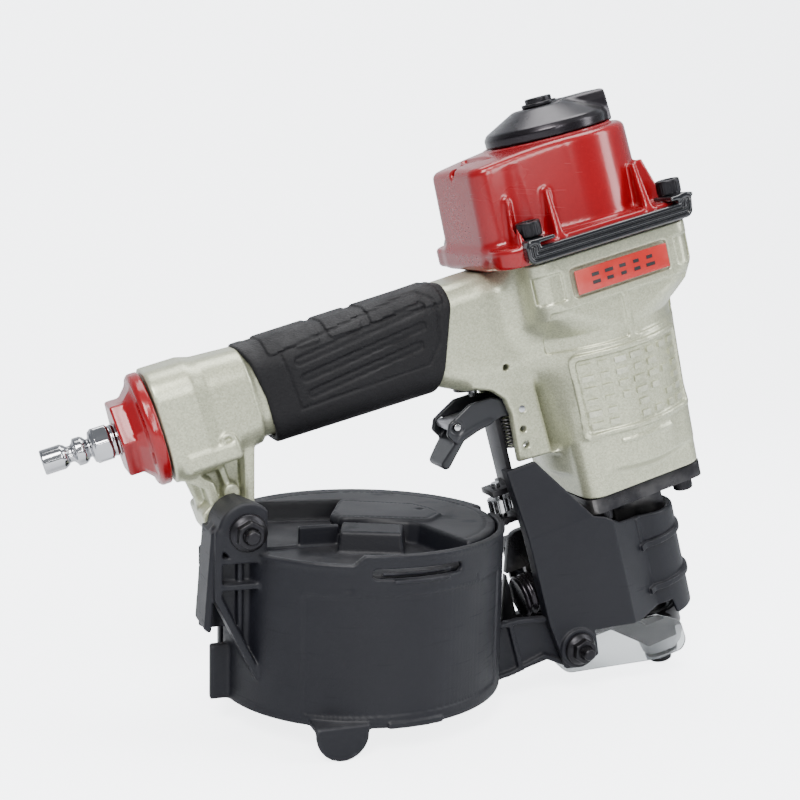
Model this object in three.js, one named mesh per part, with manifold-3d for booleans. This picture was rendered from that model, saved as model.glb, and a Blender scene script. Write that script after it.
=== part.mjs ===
// Pneumatic coil nailer: an upright piston barrel with a hollow handle, a nose with a sliding
// safety contact, and a round coil magazine whose axis is vertical.
// Millimetres, +Z up, +X towards the nose, -Y towards the operator's right-hand side.
//
// Two frames are used. The magazine is drawn in the row frame (x, y, z). The barrel, handle and
// nose are drawn in the driver frame (u forward, v = y, w up along the driver), which leans back
// by the angle at which wire-collated nails sit. Both frames share one zero, where the driver
// axis meets the floor. The finished group is then moved so that its origin is the middle of
// its footprint.

import * as THREE from 'three';
import { mergeVertices } from 'three/addons/utils/BufferGeometryUtils.js';
import Module from 'manifold-3d';

const wasm = await Module();
wasm.setup();

// Driving dimensions
const LEAN = THREE.MathUtils.degToRad(16.5); // driver axis against the magazine axis
const GAP = 0.3; // clearance between pieces that touch

const COLLAR_HALF = 38; // half width of the square collar on top of the barrel
const COLLAR_TOP = 205.7;
const BARREL_R_TOP = 38;
const BARREL_R_LOW = 35;
const BODY_BOTTOM = 99;
const BORE_R = 28;
const LINER_R = 24.5;
const LINER_BORE = 22;
const TRACK = 2.6; // half width of the slot that the nail strip and the driver blade run in

const HANDLE_END = -195; // rear face of the cast handle, along u
const HANDLE_LOW = 162.5;
const HANDLE_HIGH = 206;
const GRIP_REAR = -155;
const GRIP_FRONT = -69;

const CAP_TOP = 252;
const CAP_R_TOP = 33;
const CAP_R_LOW = 34.8;
const BOLT_PITCH = 33.4; // cap screws sit at plus and minus this along u and v

const TRIGGER_PIVOT = [-46.3, 144.5]; // u, w
const LEVER_PIVOT = [-75.3, 144.9];
const VALVE_U = -61;

const TIP_R = 5.2;
const TIP_FACE = TIP_R * Math.tan(LEAN); // lowest corner of the tilted tip just meets the floor

const NOSE_BOLT = [-52.4, 38.3]; // u, w of the bolt through cover, magazine arm and nose
const REAR_BOLT = [-177.5, 140.2]; // u, w of the bolt through the handle's yoke

const DRUM = { x: -154, y: -5, r: 60, wall: 2.5, floor: 11.2, rim: 79 };
const HINGE = { x: -219, y: -8 }; // vertical hinge of the magazine cover
const FOOT = { x: -179.5, r: 10.4, thick: 3 };

// Finishes
const finish = (color, roughness, metalness) =>
  new THREE.MeshStandardMaterial({ color, roughness, metalness });
const castPaint = finish(0xc9ccba, 0.35, 0.55);
const redPaint = finish(0xb3141f, 0.25, 0.2);
const blackPlastic = finish(0x2b2d36, 0.55, 0);
const grip = finish(0x24252a, 0.8, 0);
const blackOxide = finish(0x17181b, 0.35, 0.8);
const blackGloss = finish(0x0d0e11, 0.2, 0.3);
const steel = finish(0x8f9296, 0.35, 1);
const chrome = finish(0xd8dade, 0.1, 1);
const rubber = finish(0x141416, 0.85, 0);
const clear = finish(0xe8eef0, 0.08, 0);

// Solids from geometry
function solid(geometry) {
  const bare = geometry.clone();
  bare.deleteAttribute('normal');
  bare.deleteAttribute('uv');
  const merged = mergeVertices(bare, 1e-4);
  return new wasm.Manifold(new wasm.Mesh({
    numProp: 3,
    vertProperties: new Float32Array(merged.attributes.position.array),
    triVerts: new Uint32Array(merged.index.array),
  }));
}

function toGeometry(body) {
  const mesh = body.getMesh();
  const geometry = new THREE.BufferGeometry();
  geometry.setAttribute('position', new THREE.BufferAttribute(mesh.vertProperties, 3));
  geometry.setIndex(new THREE.BufferAttribute(mesh.triVerts, 1));
  geometry.computeVertexNormals();
  return geometry;
}

function join(...bodies) {
  return bodies.reduce((sum, body) => sum.add(body));
}

function cut(body, ...tools) {
  return tools.reduce((rest, tool) => rest.subtract(tool), body);
}

// Block between two corners.
function block(a0, a1, b0, b1, c0, c1) {
  const box = new THREE.BoxGeometry(a1 - a0, b1 - b0, c1 - c0);
  return solid(box.translate((a0 + a1) / 2, (b0 + b1) / 2, (c0 + c1) / 2));
}

// Round bar along 'x', 'y' or 'z', from one end to the other, at the given centre of the two
// other axes; rEnd makes it a cone.
function bar(axis, r, from, to, c1 = 0, c2 = 0, sides = 20, rEnd = r) {
  const body = new THREE.CylinderGeometry(rEnd, r, to - from, sides);
  const mid = (from + to) / 2;
  if (axis === 'x') return solid(body.rotateZ(-Math.PI / 2).translate(mid, c1, c2));
  if (axis === 'y') return solid(body.translate(c1, mid, c2));
  return solid(body.rotateX(Math.PI / 2).translate(c1, c2, mid));
}

// Outline from corners [a, b, radius]; a radius rounds that corner.
function outline(corners) {
  const shape = new THREE.Shape();
  const count = corners.length;
  corners.forEach(([a, b, radius = 0], i) => {
    const corner = new THREE.Vector2(a, b);
    if (!radius) {
      if (i === 0) shape.moveTo(a, b);
      else shape.lineTo(a, b);
      return;
    }
    const before = new THREE.Vector2(...corners[(i + count - 1) % count]).sub(corner);
    const after = new THREE.Vector2(...corners[(i + 1) % count]).sub(corner);
    const reach = Math.min(radius, 0.49 * before.length(), 0.49 * after.length());
    const enter = before.setLength(reach).add(corner);
    const leave = after.setLength(reach).add(corner);
    if (i === 0) shape.moveTo(enter.x, enter.y);
    else shape.lineTo(enter.x, enter.y);
    shape.quadraticCurveTo(a, b, leave.x, leave.y);
  });
  return shape;
}

// Plate with its outline in (x, z) and its thickness along y.
function sidePlate(corners, from, to) {
  const plate = new THREE.ExtrudeGeometry(outline(corners), {
    depth: to - from, bevelEnabled: false, curveSegments: 4,
  });
  return solid(plate.rotateX(Math.PI / 2).translate(0, to, 0));
}

// Plate with its outline in (x, y) and its thickness along z.
function flatPlate(corners, from, to) {
  const plate = new THREE.ExtrudeGeometry(outline(corners), {
    depth: to - from, bevelEnabled: false, curveSegments: 4,
  });
  return solid(plate.translate(0, 0, from));
}

// Closed skin over equal rings of points, with flat ends.
function loft(rings) {
  const sides = rings[0].length;
  const points = rings.flat();
  const faces = [];
  for (let ring = 0; ring + 1 < rings.length; ring += 1) {
    for (let i = 0; i < sides; i += 1) {
      const a = ring * sides + i;
      const b = ring * sides + ((i + 1) % sides);
      faces.push(a, b, b + sides, a, b + sides, a + sides);
    }
  }
  const last = (rings.length - 1) * sides;
  for (let i = 1; i + 1 < sides; i += 1) {
    faces.push(0, i + 1, i, last, last + i, last + i + 1);
  }
  const geometry = new THREE.BufferGeometry().setFromPoints(points);
  geometry.setIndex(faces);
  return solid(geometry);
}

// Rounded rectangle of points: half sizes a and b, corner radius r, at the given centre.
function roundedRing(a, b, r, place, perCorner = 4) {
  const ring = [];
  for (let corner = 0; corner < 4; corner += 1) {
    const signA = corner === 0 || corner === 3 ? 1 : -1;
    const signB = corner < 2 ? 1 : -1;
    for (let i = 0; i < perCorner; i += 1) {
      const angle = (corner + i / (perCorner - 1)) * Math.PI / 2;
      const p = signA * (a - r) + r * Math.cos(angle);
      const q = signB * (b - r) + r * Math.sin(angle);
      ring.push(place(p, q));
    }
  }
  return ring;
}

// Ring across w at height w; centre shifted along u.
function levelRing(w, halfU, halfV, r, centreU = 0) {
  return roundedRing(halfU, halfV, r, (p, q) => new THREE.Vector3(centreU + p, q, w));
}

// Ring across u at place u; the section runs from low to high.
function crossRing(u, halfV, low, high, r) {
  const mid = (low + high) / 2;
  return roundedRing(halfV, (high - low) / 2, r, (p, q) => new THREE.Vector3(u, p, mid + q));
}

// Turned piece about z (w) from a closed profile of [radius, height] points.
function turned(profile, sides = 24) {
  const points = profile.map(([r, h]) => new THREE.Vector2(r, h));
  return solid(new THREE.LatheGeometry(points, sides).rotateX(Math.PI / 2));
}

function ringProfile(inner, outer, low, high) {
  return [[inner, low], [outer, low], [outer, high], [inner, high], [inner, low]];
}

// Coil spring about z (w).
function coilSpring(radius, wire, low, high, turns) {
  const path = [];
  const steps = turns * 10;
  for (let i = 0; i <= steps; i += 1) {
    const angle = (i / 10) * 2 * Math.PI;
    const height = low + ((high - low) * i) / steps;
    path.push(new THREE.Vector3(radius * Math.cos(angle), radius * Math.sin(angle), height));
  }
  const section = outline([[wire, 0], [0, wire], [-wire, 0], [0, -wire]]);
  return solid(new THREE.ExtrudeGeometry(section, {
    steps, extrudePath: new THREE.CatmullRomCurve3(path), curveSegments: 1,
  }));
}

// Scene graph
const driveFrame = new THREE.Group();
driveFrame.rotation.y = -LEAN;
const rowFrame = new THREE.Group();

function add(frame, name, material, body) {
  const mesh = new THREE.Mesh(toGeometry(body), material);
  mesh.name = name;
  frame.add(mesh);
}

// Cast body and handle
function makeHousing() {
  const collar = loft([
    levelRing(172, 37.6, 37.6, 37),
    levelRing(182, COLLAR_HALF, COLLAR_HALF, 14),
    levelRing(189, COLLAR_HALF, COLLAR_HALF, 7),
    levelRing(COLLAR_TOP, COLLAR_HALF, COLLAR_HALF, 7),
  ]);
  const barrel = bar('z', BARREL_R_LOW, BODY_BOTTOM, 175, 0, 0, 28, BARREL_R_TOP);
  const lowerBlock = loft([
    levelRing(BODY_BOTTOM, 29, 29, 9, -2),
    levelRing(118, 29.5, 29.5, 9, -2),
    levelRing(138, 24, 24, 9),
  ]);
  const handle = loft([
    crossRing(HANDLE_END, 19, HANDLE_LOW - 1.5, HANDLE_HIGH + 0.9, 14),
    crossRing(-178, 19, HANDLE_LOW - 1.5, HANDLE_HIGH + 0.9, 14),
    crossRing(-177, 17.8, HANDLE_LOW, HANDLE_HIGH, 14),
    crossRing(GRIP_REAR - 2, 16.6, HANDLE_LOW + 2.5, HANDLE_HIGH - 1, 13),
    crossRing(GRIP_REAR, 15.2, HANDLE_LOW + 4, HANDLE_HIGH - 2.5, 12),
    crossRing(-80, 15.2, HANDLE_LOW + 4, HANDLE_HIGH - 2.5, 12),
  ]);
  const neck = loft([
    crossRing(-80, 15.2, HANDLE_LOW + 4, HANDLE_HIGH - 2.5, 12),
    crossRing(-68, 16.5, 158.5, COLLAR_TOP - 0.4, 12),
    crossRing(-56, 20, 157.5, COLLAR_TOP - 0.2, 11),
    crossRing(-44, 28, 157.5, COLLAR_TOP - 0.2, 10),
    crossRing(-30, 33, 157.5, COLLAR_TOP - 0.2, 10),
  ]);
  const fork = sidePlate([
    [-30, 122], [-52.6, 122, 2], [-51.8, 148, 9], [-66, 159.5], [-66, 170], [-30, 170],
  ], -15, 15);
  const yoke = sidePlate([
    [-192, 164], [-160, 170], [-167.5, 143, 2], [-169.5, 134, 5], [-184, 133.6, 6],
    [-188, 141, 6],
  ], -13.5, 13.5);
  const lug = block(-190.5, -168, -19.5, 0, 163.5, 172);
  const body = join(collar, barrel, lowerBlock, handle, neck, fork, yoke, lug);

  const [pivotU, pivotW] = TRIGGER_PIVOT;
  const [boltU, boltW] = REAR_BOLT;
  const duct = loft([
    crossRing(HANDLE_END - 1, 11.5, 171, 199, 8),
    crossRing(-24, 11.5, 171, 199, 8),
  ]);
  const threads = [];
  for (const side of [-1, 1]) {
    for (const end of [-1, 1]) {
      threads.push(bar('z', 3 + GAP, 193, COLLAR_TOP + 1, end * BOLT_PITCH, side * BOLT_PITCH, 8));
    }
  }
  return cut(
    body,
    bar('z', BORE_R, 104, COLLAR_TOP + 1, 0, 0, 24),
    bar('z', 6, BODY_BOTTOM - 1, 105, 0, 0, 16),
    duct,
    bar('z', 8 + GAP, 150, 175, VALVE_U, 0, 20),
    block(-60, -39.5, -10.6, 10.6, 120, 156.6),
    bar('y', 2 + GAP, -20, 20, pivotU, pivotW, 12),
    bar('y', 4 + GAP, -20, 20, boltU, boltW, 16),
    sidePlate([[-184.5, 160], [-166.5, 160], [-170, 150, 3], [-181, 150, 3]], -20, -3),
    sidePlate([[-184.5, 160], [-166.5, 160], [-170, 150, 3], [-181, 150, 3]], 3, 20),
    ...threads,
    ...noseScrewPlaces.map(([u, v]) => bar('z', 2.5 + GAP, BODY_BOTTOM - 1, 112, u, v, 12)),
  );
}

const noseScrewPlaces = [[-22.8, -20.3], [18.8, -20.3], [-22.8, 20.3], [18.8, 20.3]];

function makeGrip() {
  const outside = loft([
    crossRing(GRIP_REAR + GAP, 17.2, HANDLE_LOW + 1, HANDLE_HIGH - 0.3, 14),
    crossRing(GRIP_FRONT - 13, 17.8, HANDLE_LOW + 1, HANDLE_HIGH + 0.3, 14),
  ]);
  const front = sidePlate([
    [-100, 160], [-80.5, 160], [-77.5, 170], [-70, 190, 10], [-66.5, 210], [-100, 210],
  ], -30, 30);
  const nose = loft([
    crossRing(GRIP_FRONT - 13, 17.8, HANDLE_LOW + 1, HANDLE_HIGH + 0.3, 14),
    crossRing(-66, 18.6, HANDLE_LOW - 2, HANDLE_HIGH + 0.6, 13),
  ]);
  const inside = loft([
    crossRing(GRIP_REAR - 1, 15.2 + GAP, HANDLE_LOW + 4 - GAP, HANDLE_HIGH - 2.5 + GAP, 12),
    crossRing(-80, 15.2 + GAP, HANDLE_LOW + 4 - GAP, HANDLE_HIGH - 2.5 + GAP, 12),
    crossRing(-68, 16.5 + GAP, 158.5 - GAP, COLLAR_TOP - 0.4 + GAP, 12),
    crossRing(-56, 20 + GAP, 157.5 - GAP, COLLAR_TOP - 0.2 + GAP, 11),
  ]);
  const sleeve = join(outside, nose.intersect(front));
  return cut(sleeve, inside);
}

add(driveFrame, 'main_housing', castPaint, makeHousing());
add(driveFrame, 'grip_sleeve', grip, makeGrip());
add(driveFrame, 'label_plate', redPaint,
  block(-20.5, 23.5, -COLLAR_HALF - 1.3, -COLLAR_HALF - GAP, 189, 199));

// Top cap and its screws
const FLANGE_LOW = COLLAR_TOP + 1;
const FLANGE_TOP = 215;

function flangeRing(w, grow = 0) {
  return levelRing(w, 44 + grow, 39 + grow, 11, -6);
}

const GUSSETS = [-41.6, -22.5, 21]; // u of the upright ribs beside the cap screws

function makeCap() {
  const flange = loft([flangeRing(FLANGE_LOW), flangeRing(FLANGE_TOP)]);
  const dome = bar('z', CAP_R_LOW, FLANGE_LOW, CAP_TOP - 2, 0, 0, 28, CAP_R_TOP);
  const crown = bar('z', CAP_R_TOP, CAP_TOP - 2, CAP_TOP, 0, 0, 28, CAP_R_TOP - 2);
  const rear = loft([
    levelRing(FLANGE_LOW, 25, 29, 11, -24.5),
    levelRing(CAP_TOP - 2, 23.2, 27.2, 11, -23.5),
    levelRing(CAP_TOP, 21.2, 25.2, 9.5, -23.5),
  ]);
  const gussets = [];
  for (const side of [-1, 1]) {
    for (const u of GUSSETS) {
      gussets.push(sidePlate([[u - 1.6, 214], [u + 1.6, 214], [u + 0.8, 233], [u - 0.8, 233]],
        side > 0 ? 22 : -38, side > 0 ? 38 : -22));
    }
  }
  const slope = loft([levelRing(FLANGE_LOW, 60, 39, 10, -6), levelRing(240, 60, 31, 10, -6)]);
  const ribs = join(...gussets).intersect(slope);
  const body = join(flange, dome, crown, rear, ribs);
  const holes = [];
  const seats = [];
  for (const side of [-1, 1]) {
    for (const end of [-1, 1]) {
      holes.push(bar('z', 3 + GAP, FLANGE_LOW - 1, 230, end * BOLT_PITCH, side * BOLT_PITCH, 8));
      seats.push(bar('z', 5.6, FLANGE_TOP, 245, end * BOLT_PITCH, side * BOLT_PITCH, 14));
    }
  }
  return cut(
    body,
    bar('z', 31, FLANGE_LOW - 1, 232, 0, 0, 24),
    bar('z', 17, 231, CAP_TOP + 1, 0, 0, 20),
    block(-44, -20, -22, 22, FLANGE_LOW - 1, 240),
    bar('x', 1.8, -60, -28, 0, 247, 12),
    ...holes,
    ...seats,
  );
}

const SCREW_SEAT = 217;

function makeCapScrew(u, v) {
  const head = bar('z', 5, SCREW_SEAT + GAP, SCREW_SEAT + 6 + GAP, u, v, 14);
  const shank = bar('z', 3, 194, SCREW_SEAT + 1, u, v, 8);
  const socket = bar('z', 2.9, SCREW_SEAT + 3, SCREW_SEAT + 7, u, v, 6);
  return cut(join(head, shank), socket);
}

function makeGuard(side) {
  const near = side * 41;
  const half = 3.2;
  const low = near - half;
  const high = near + half;
  const barBody = block(-40, 37, low, high, 208, 217);
  const grooves = [210.2, 213.6].map((w) => {
    const face = side > 0 ? high : low;
    return block(-41, 38, face - 1, face + 1, w, w + 1.4);
  });
  const tabs = [-1, 1].map((end) => {
    const outer = end > 0 ? [27.5, 39.5] : [-39.5, -27.5];
    const saddle = block(...outer, side > 0 ? 30 : -44.2, side > 0 ? 44.2 : -30, 215.3, 216.7);
    return saddle.subtract(bar('z', 3 + GAP, 210, 220, end * BOLT_PITCH, side * BOLT_PITCH, 8));
  });
  const capSpace = loft([flangeRing(190, GAP), flangeRing(FLANGE_TOP + GAP, GAP)]);
  const domeSpace = join(
    bar('z', CAP_R_LOW + 1, 190, 240, 0, 0, 28, CAP_R_LOW),
    block(-52, 0, -29.6, 29.6, 200, 240),
  );
  return cut(join(barBody, ...tabs), capSpace, domeSpace, ...grooves,
    ...GUSSETS.map((u) => block(u - 2, u + 2, -39, 39, 214.9, 230)));
}

add(driveFrame, 'cylinder_cap', redPaint, makeCap());
add(driveFrame, 'cap_gasket', rubber, cut(
  loft([levelRing(COLLAR_TOP + GAP, 38.4, 38.4, 7), levelRing(FLANGE_LOW - GAP, 38.4, 38.4, 7)]),
  bar('z', 31, 200, 210, 0, 0, 24),
  ...[[-1, -1], [-1, 1], [1, -1], [1, 1]].map(([a, b]) =>
    bar('z', 3 + GAP, 200, 210, a * BOLT_PITCH, b * BOLT_PITCH, 8)),
));
[[-1, -1], [1, -1], [-1, 1], [1, 1]].forEach(([a, b], i) => {
  add(driveFrame, `cap_screw_${i + 1}`, blackOxide, makeCapScrew(a * BOLT_PITCH, b * BOLT_PITCH));
});
add(driveFrame, 'side_guard_right', blackGloss, makeGuard(-1));
add(driveFrame, 'side_guard_left', blackGloss, makeGuard(1));

// Exhaust
function makeExhaustCover() {
  const dish = turned([
    [5.4, 252.4], [26, 252.4], [26.3, 256], [25, 258], [12, 264.6], [5.4, 265], [5.4, 252.4],
  ], 26);
  const hood = loft([
    levelRing(252.4, 9, 12, 3, 17),
    levelRing(264, 9, 8, 3, 19),
    levelRing(266, 8, 6, 3, 18.5),
  ]);
  const mouth = block(12, 40, -6, 6, 255.5, 262.5);
  const chamber = turned([
    [5.4, 250], [22, 250], [22, 256], [13, 261.5], [5.4, 262], [5.4, 250],
  ], 20);
  return cut(join(dish, cut(hood, bar('z', 5.4, 240, 270, 0, 0, 16))), mouth, chamber);
}

add(driveFrame, 'exhaust_cover', blackOxide, makeExhaustCover());
add(driveFrame, 'exhaust_screw', blackOxide, cut(
  join(bar('z', 7.5, 265.3, 267, 0, 0, 18), bar('z', 5, 266.5, 269, 0, 0, 14),
    bar('z', 4, 240, 266, 0, 0, 10)),
  bar('z', 2.5, 267, 270, 0, 0, 6),
));

// Handle end and air plug
function makeEndCap() {
  const mid = 183.7;
  const disc = bar('x', 23.2, HANDLE_END - 6.2, HANDLE_END - 0.9, 0, mid, 26);
  const cone = bar('x', 12.5, -211, HANDLE_END - 6, 0, mid, 6, 18);
  const bore = bar('x', 6.5 + GAP, -212, HANDLE_END, 0, mid, 14);
  return cut(join(disc, cone), bore);
}

add(driveFrame, 'end_cap_seal', rubber, cut(
  bar('x', 18.6, HANDLE_END - 0.7, HANDLE_END - 0.25, 0, 183.7, 20),
  bar('x', 10, HANDLE_END - 2, HANDLE_END + 2, 0, 183.7, 14),
));
add(driveFrame, 'end_cap', redPaint, makeEndCap());
add(driveFrame, 'air_plug', chrome, cut(
  join(
    bar('x', 6.5, -214, HANDLE_END - 3, 0, 183.7, 12),
    bar('x', 7.8, -219, -213.5, 0, 183.7, 6),
    bar('x', 5, -240.6, -231, 0, 183.7, 12),
    bar('x', 3.4, -232, -218, 0, 183.7, 12),
    bar('x', 5.6, -227, -222, 0, 183.7, 12),
  ),
  bar('x', 2.4, -242, HANDLE_END, 0, 183.7, 12),
));

// Inside the barrel
add(driveFrame, 'cylinder_liner', steel, turned([
  [LINER_BORE, 104.3], [LINER_R, 104.3], [LINER_R, 192], [27.6, 192], [27.6, 196],
  [LINER_R, 196], [LINER_R, 200], [LINER_BORE, 200], [LINER_BORE, 104.3],
]));
add(driveFrame, 'bumper', rubber, turned([
  [6, 104.3], [21, 104.3], [21, 110], [17, 118], [6, 118], [6, 104.3],
], 18));
add(driveFrame, 'piston', steel, turned(ringProfile(3.4, LINER_BORE - GAP, 188, 198), 22));
add(driveFrame, 'driver_blade', steel, join(
  bar('z', 3.1, 150, 199, 0, 0, 14),
  bar('z', TRACK - GAP, 76, 151, 0, 0, 14),
  bar('z', 5, 198.3, 199.6, 0, 0, 14),
));
add(driveFrame, 'head_valve', blackPlastic, turned([
  [18, 200.3], [27.5, 200.3], [27.5, 206], [24, 206], [24, 213], [18, 213], [18, 200.3],
], 22));
add(driveFrame, 'head_valve_spring', steel, coilSpring(21, 0.9, 214.6, 225, 4));

// Trigger group
const CHEEK_IN = 7.6;
const CHEEK_OUT = 9.8;

function makeTrigger() {
  const side = [
    [-41.3, 139.5, 4], [-54, 142.7, 3], [-66.8, 140.6, 6], [-77.6, 138], [-80.2, 142.5, 2],
    [-78.2, 146.8, 2], [-67.2, 152.1, 5], [-57, 152, 4], [-50, 149], [-41.3, 149.5, 4],
  ];
  const cheeks = [sidePlate(side, -CHEEK_OUT, -CHEEK_IN), sidePlate(side, CHEEK_IN, CHEEK_OUT)];
  const web = sidePlate([
    [-60, 142.9], [-66.8, 142.3, 3], [-77.5, 139.8, 2], [-85.6, 131.4, 2], [-82, 127.8, 1.5],
    [-75, 137, 2], [-66.3, 140.4, 3], [-60, 141.3],
  ], -CHEEK_OUT, CHEEK_OUT);
  const lugs = join(...cheeks, web);
  return cut(
    lugs,
    bar('y', 2 + GAP, -20, 20, ...TRIGGER_PIVOT, 12),
    bar('y', 1.5 + GAP, -20, 20, ...LEVER_PIVOT, 12),
  );
}

function makeContactLever() {
  const arm = sidePlate([
    [-78, 143.2, 1.2], [-78, 146.8, 1.2], [-52.5, 146.4], [-52.5, 143.8],
  ], -6.8, 6.8);
  return cut(arm, bar('y', 1.5 + GAP, -20, 20, ...LEVER_PIVOT, 12));
}

add(driveFrame, 'trigger', blackGloss, makeTrigger());
add(driveFrame, 'trigger_pin', steel, bar('y', 2, -14.6, 14.6, ...TRIGGER_PIVOT, 12));
add(driveFrame, 'contact_lever', steel, makeContactLever());
add(driveFrame, 'contact_lever_pin', steel, bar('y', 1.5, -10.4, 10.4, ...LEVER_PIVOT, 12));
add(driveFrame, 'trigger_valve_body', steel, turned(ringProfile(2.6, 8, 157.2, 178), 20)
  .translate([VALVE_U, 0, 0]));
add(driveFrame, 'valve_stem', chrome, join(
  bar('z', 2.2, 153.3, 176, VALVE_U, 0, 12),
  bar('z', 4, 178.5, 181, VALVE_U, 0, 12),
  bar('z', 2.2, 175, 179, VALVE_U, 0, 12),
));

// Nose

function makeNose() {
  const flange = flatPlate([
    [-31, -28, 6], [27, -28, 6], [27, 28, 6], [-31, 28, 6],
  ], 92, BODY_BOTTOM - GAP);
  const column = block(-13, 12, -12, 12, 76, 92.5);
  const trackWall = sidePlate([
    [12, 90], [-62, 90, 4], [-78, 46, 4], [-74, 27, 4], [-17, 27], [-17, 38], [12, 38],
  ], -6.5, -TRACK);
  const front = block(3.6, 12, -6.5, 3.4, 38, 80);
  const latchBridge = block(-58, -50, -6.5, 9, 79, 84);
  const muzzle = bar('z', 7.6, 19, 40, 0, 0, 16);
  const bolt = bar('y', 7, -13.2, -TRACK, ...NOSE_BOLT, 16);
  const feedWindow = join(
    block(-58.7, -9, -13, -TRACK + 1, 56.2, 69.8), block(-68.4, -58.7, -13, -TRACK + 1, 53, 73),
  );
  const doorSpace = sidePlate([
    [-90, 18], [-14, 18], [-14, 30.5], [0.5, 30.5], [0.5, 75.7], [-90, 75.7],
  ], -TRACK, 20);
  const hingeLugs = join(
    block(3, 12, 3, 14.2, 66, 75), block(3, 12, 3, 14.2, 38, 45.6),
  );
  return cut(
    join(flange, column, trackWall, front, latchBridge, muzzle, bolt, hingeLugs),
    bar('z', 3.6, 10, 110, 0, 0, 14),
    bar('y', 3 + GAP, -20, 0, ...NOSE_BOLT, 12),
    feedWindow,
    doorSpace,
    bar('z', 1.5 + GAP, 25, 80, 7, 11, 10),
    ...noseScrewPlaces.map(([u, v]) => bar('z', 2.5 + GAP, 90, 100, u, v, 12)),
  );
}

function makeNoseScrew([u, v]) {
  const body = join(bar('z', 4.3, 86.4, 91.7, u, v, 12), bar('z', 2.5, 91, 111, u, v, 8));
  return body.subtract(bar('z', 2.2, 86, 89.5, u, v, 6));
}

function makeNoseCover() {
  const near = -29;
  const wall = 2.2;
  const frontR = 19.5;
  const section = new THREE.Shape();
  section.moveTo(-63, near + 6);
  section.lineTo(-63, near + 1);
  section.lineTo(-62, near);
  section.lineTo(-24, near);
  section.lineTo(-18, near + 2);
  section.absarc(0, 0, frontR, -1.98, 0.6, false);
  section.absarc(0, 0, frontR - wall, 0.6, -1.98, true);
  section.lineTo(-19, near + 2 + wall);
  section.lineTo(-24, near + wall);
  section.lineTo(-63 + wall, near + wall);
  section.lineTo(-63 + wall, near + 6);
  const wrap = solid(new THREE.ExtrudeGeometry(section, {
    depth: 70, bevelEnabled: false, curveSegments: 9,
  }).translate(0, 0, 26));
  const sideView = sidePlate([
    [-64, 93], [-31.5, 93, 3], [-18, 82, 4], [24, 77], [24, 29.5], [4, 29.5, 2], [2.5, 37, 2],
    [-18, 37, 3], [-43.5, 43, 2], [-44, 30, 6], [-58, 29, 6], [-61.5, 45, 4], [-64, 56],
  ], -40, 40);
  const upper = loft([
    [[-61, near], [-31.5, near], [-31.5, near + wall], [-61, near + wall]],
    [[-64.6, near + 7], [-49.5, near + 7], [-49.5, near + 7 + wall], [-64.6, near + 7 + wall]],
  ].map((ring, i) => ring.map(([u, v]) => new THREE.Vector3(u, v, i ? 122.5 : 92.8))));
  const ribSpace = join(block(0, 40, -40, 12, 20, 100), block(-7, 1, -40, 0, 20, 100));
  const ribs = [45, 66].map((w) =>
    turned(ringProfile(frontR - wall / 2, frontR + 1.6, w - 2.4, w + 2.4), 28).intersect(ribSpace));
  const boss = bar('y', 9, near - 1.5, near + wall, ...NOSE_BOLT, 20);
  return cut(
    join(wrap.intersect(sideView), upper, ...ribs, boss),
    bar('y', 3 + GAP, -40, 0, ...NOSE_BOLT, 12),
    block(-66, -60.4, near + wall + 0.1, -10, 20, 64),
  );
}

add(driveFrame, 'nose_body', steel, makeNose());
noseScrewPlaces.forEach((place, i) => {
  add(driveFrame, `nose_screw_${i + 1}`, blackOxide, makeNoseScrew(place));
});
add(driveFrame, 'nose_cover', blackPlastic, makeNoseCover());
add(driveFrame, 'clear_shield', clear, cut(
  sidePlate([
    [-61, 46, 2], [-63.6, 35, 3], [-57.5, 25, 3], [-51.4, 23.4], [-11.6, 13.5], [0.6, 13.4, 2],
    [3.6, 17.1, 2], [2.7, 27, 2], [-8, 34], [-20, 35.6], [-24, 46], [-40, 47],
  ], -21.8, -20.3),
  bar('y', 3 + GAP, -40, 0, ...NOSE_BOLT, 12),
));
add(driveFrame, 'front_bolt', blackOxide, join(
  bar('y', 8, -32.4, -30.8, ...NOSE_BOLT, 20),
  bar('y', 6.2, -37.5, -32, ...NOSE_BOLT, 6),
  bar('y', 3, -41, -3.2, ...NOSE_BOLT, 12),
));

// Safety contact
function makeContactNose() {
  return turned([
    [3.8, 5.6], [6.2, 5.6], [10.4, 16], [10.4, 29.5], [8, 29.5], [8, 9.5], [3.8, 9.5], [3.8, 5.6],
  ], 24);
}

const DIAL = [-62.4, -4]; // u, v of the depth dial's screw

function makeContactArm() {
  const ring = join(
    block(-14.5, 0.5, -18.5, -10.9, 20, 29.5),
    bar('z', 13, 20, 29.5, 0, 0, 24),
  ).subtract(bar('z', 10.4 + GAP, 19, 31, 0, 0, 24));
  const near = sidePlate([
    [0.5, 20], [-14, 20], [-58, 58], [-58, 112], [-47, 112], [-47, 62], [-13, 29.5], [0.5, 29.5],
  ], -18.6, -16.2);
  const shelf = block(-58, -47, -18.6, 7, 109.5, 112);
  const riser = block(-56.6, -54.2, -7, 7, 111, 143.2);
  const clevis = join(
    block(-67, -56, -10, 2, 109.5, 112), block(-67, -56, -10, 2, 96, 98.4),
    block(-56.9, -54.5, -18.6, 2, 96, 112),
  );
  return cut(
    join(ring, near, shelf, riser, clevis),
    bar('z', 1.8 + GAP, 90, 115, ...DIAL, 10),
  );
}

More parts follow.
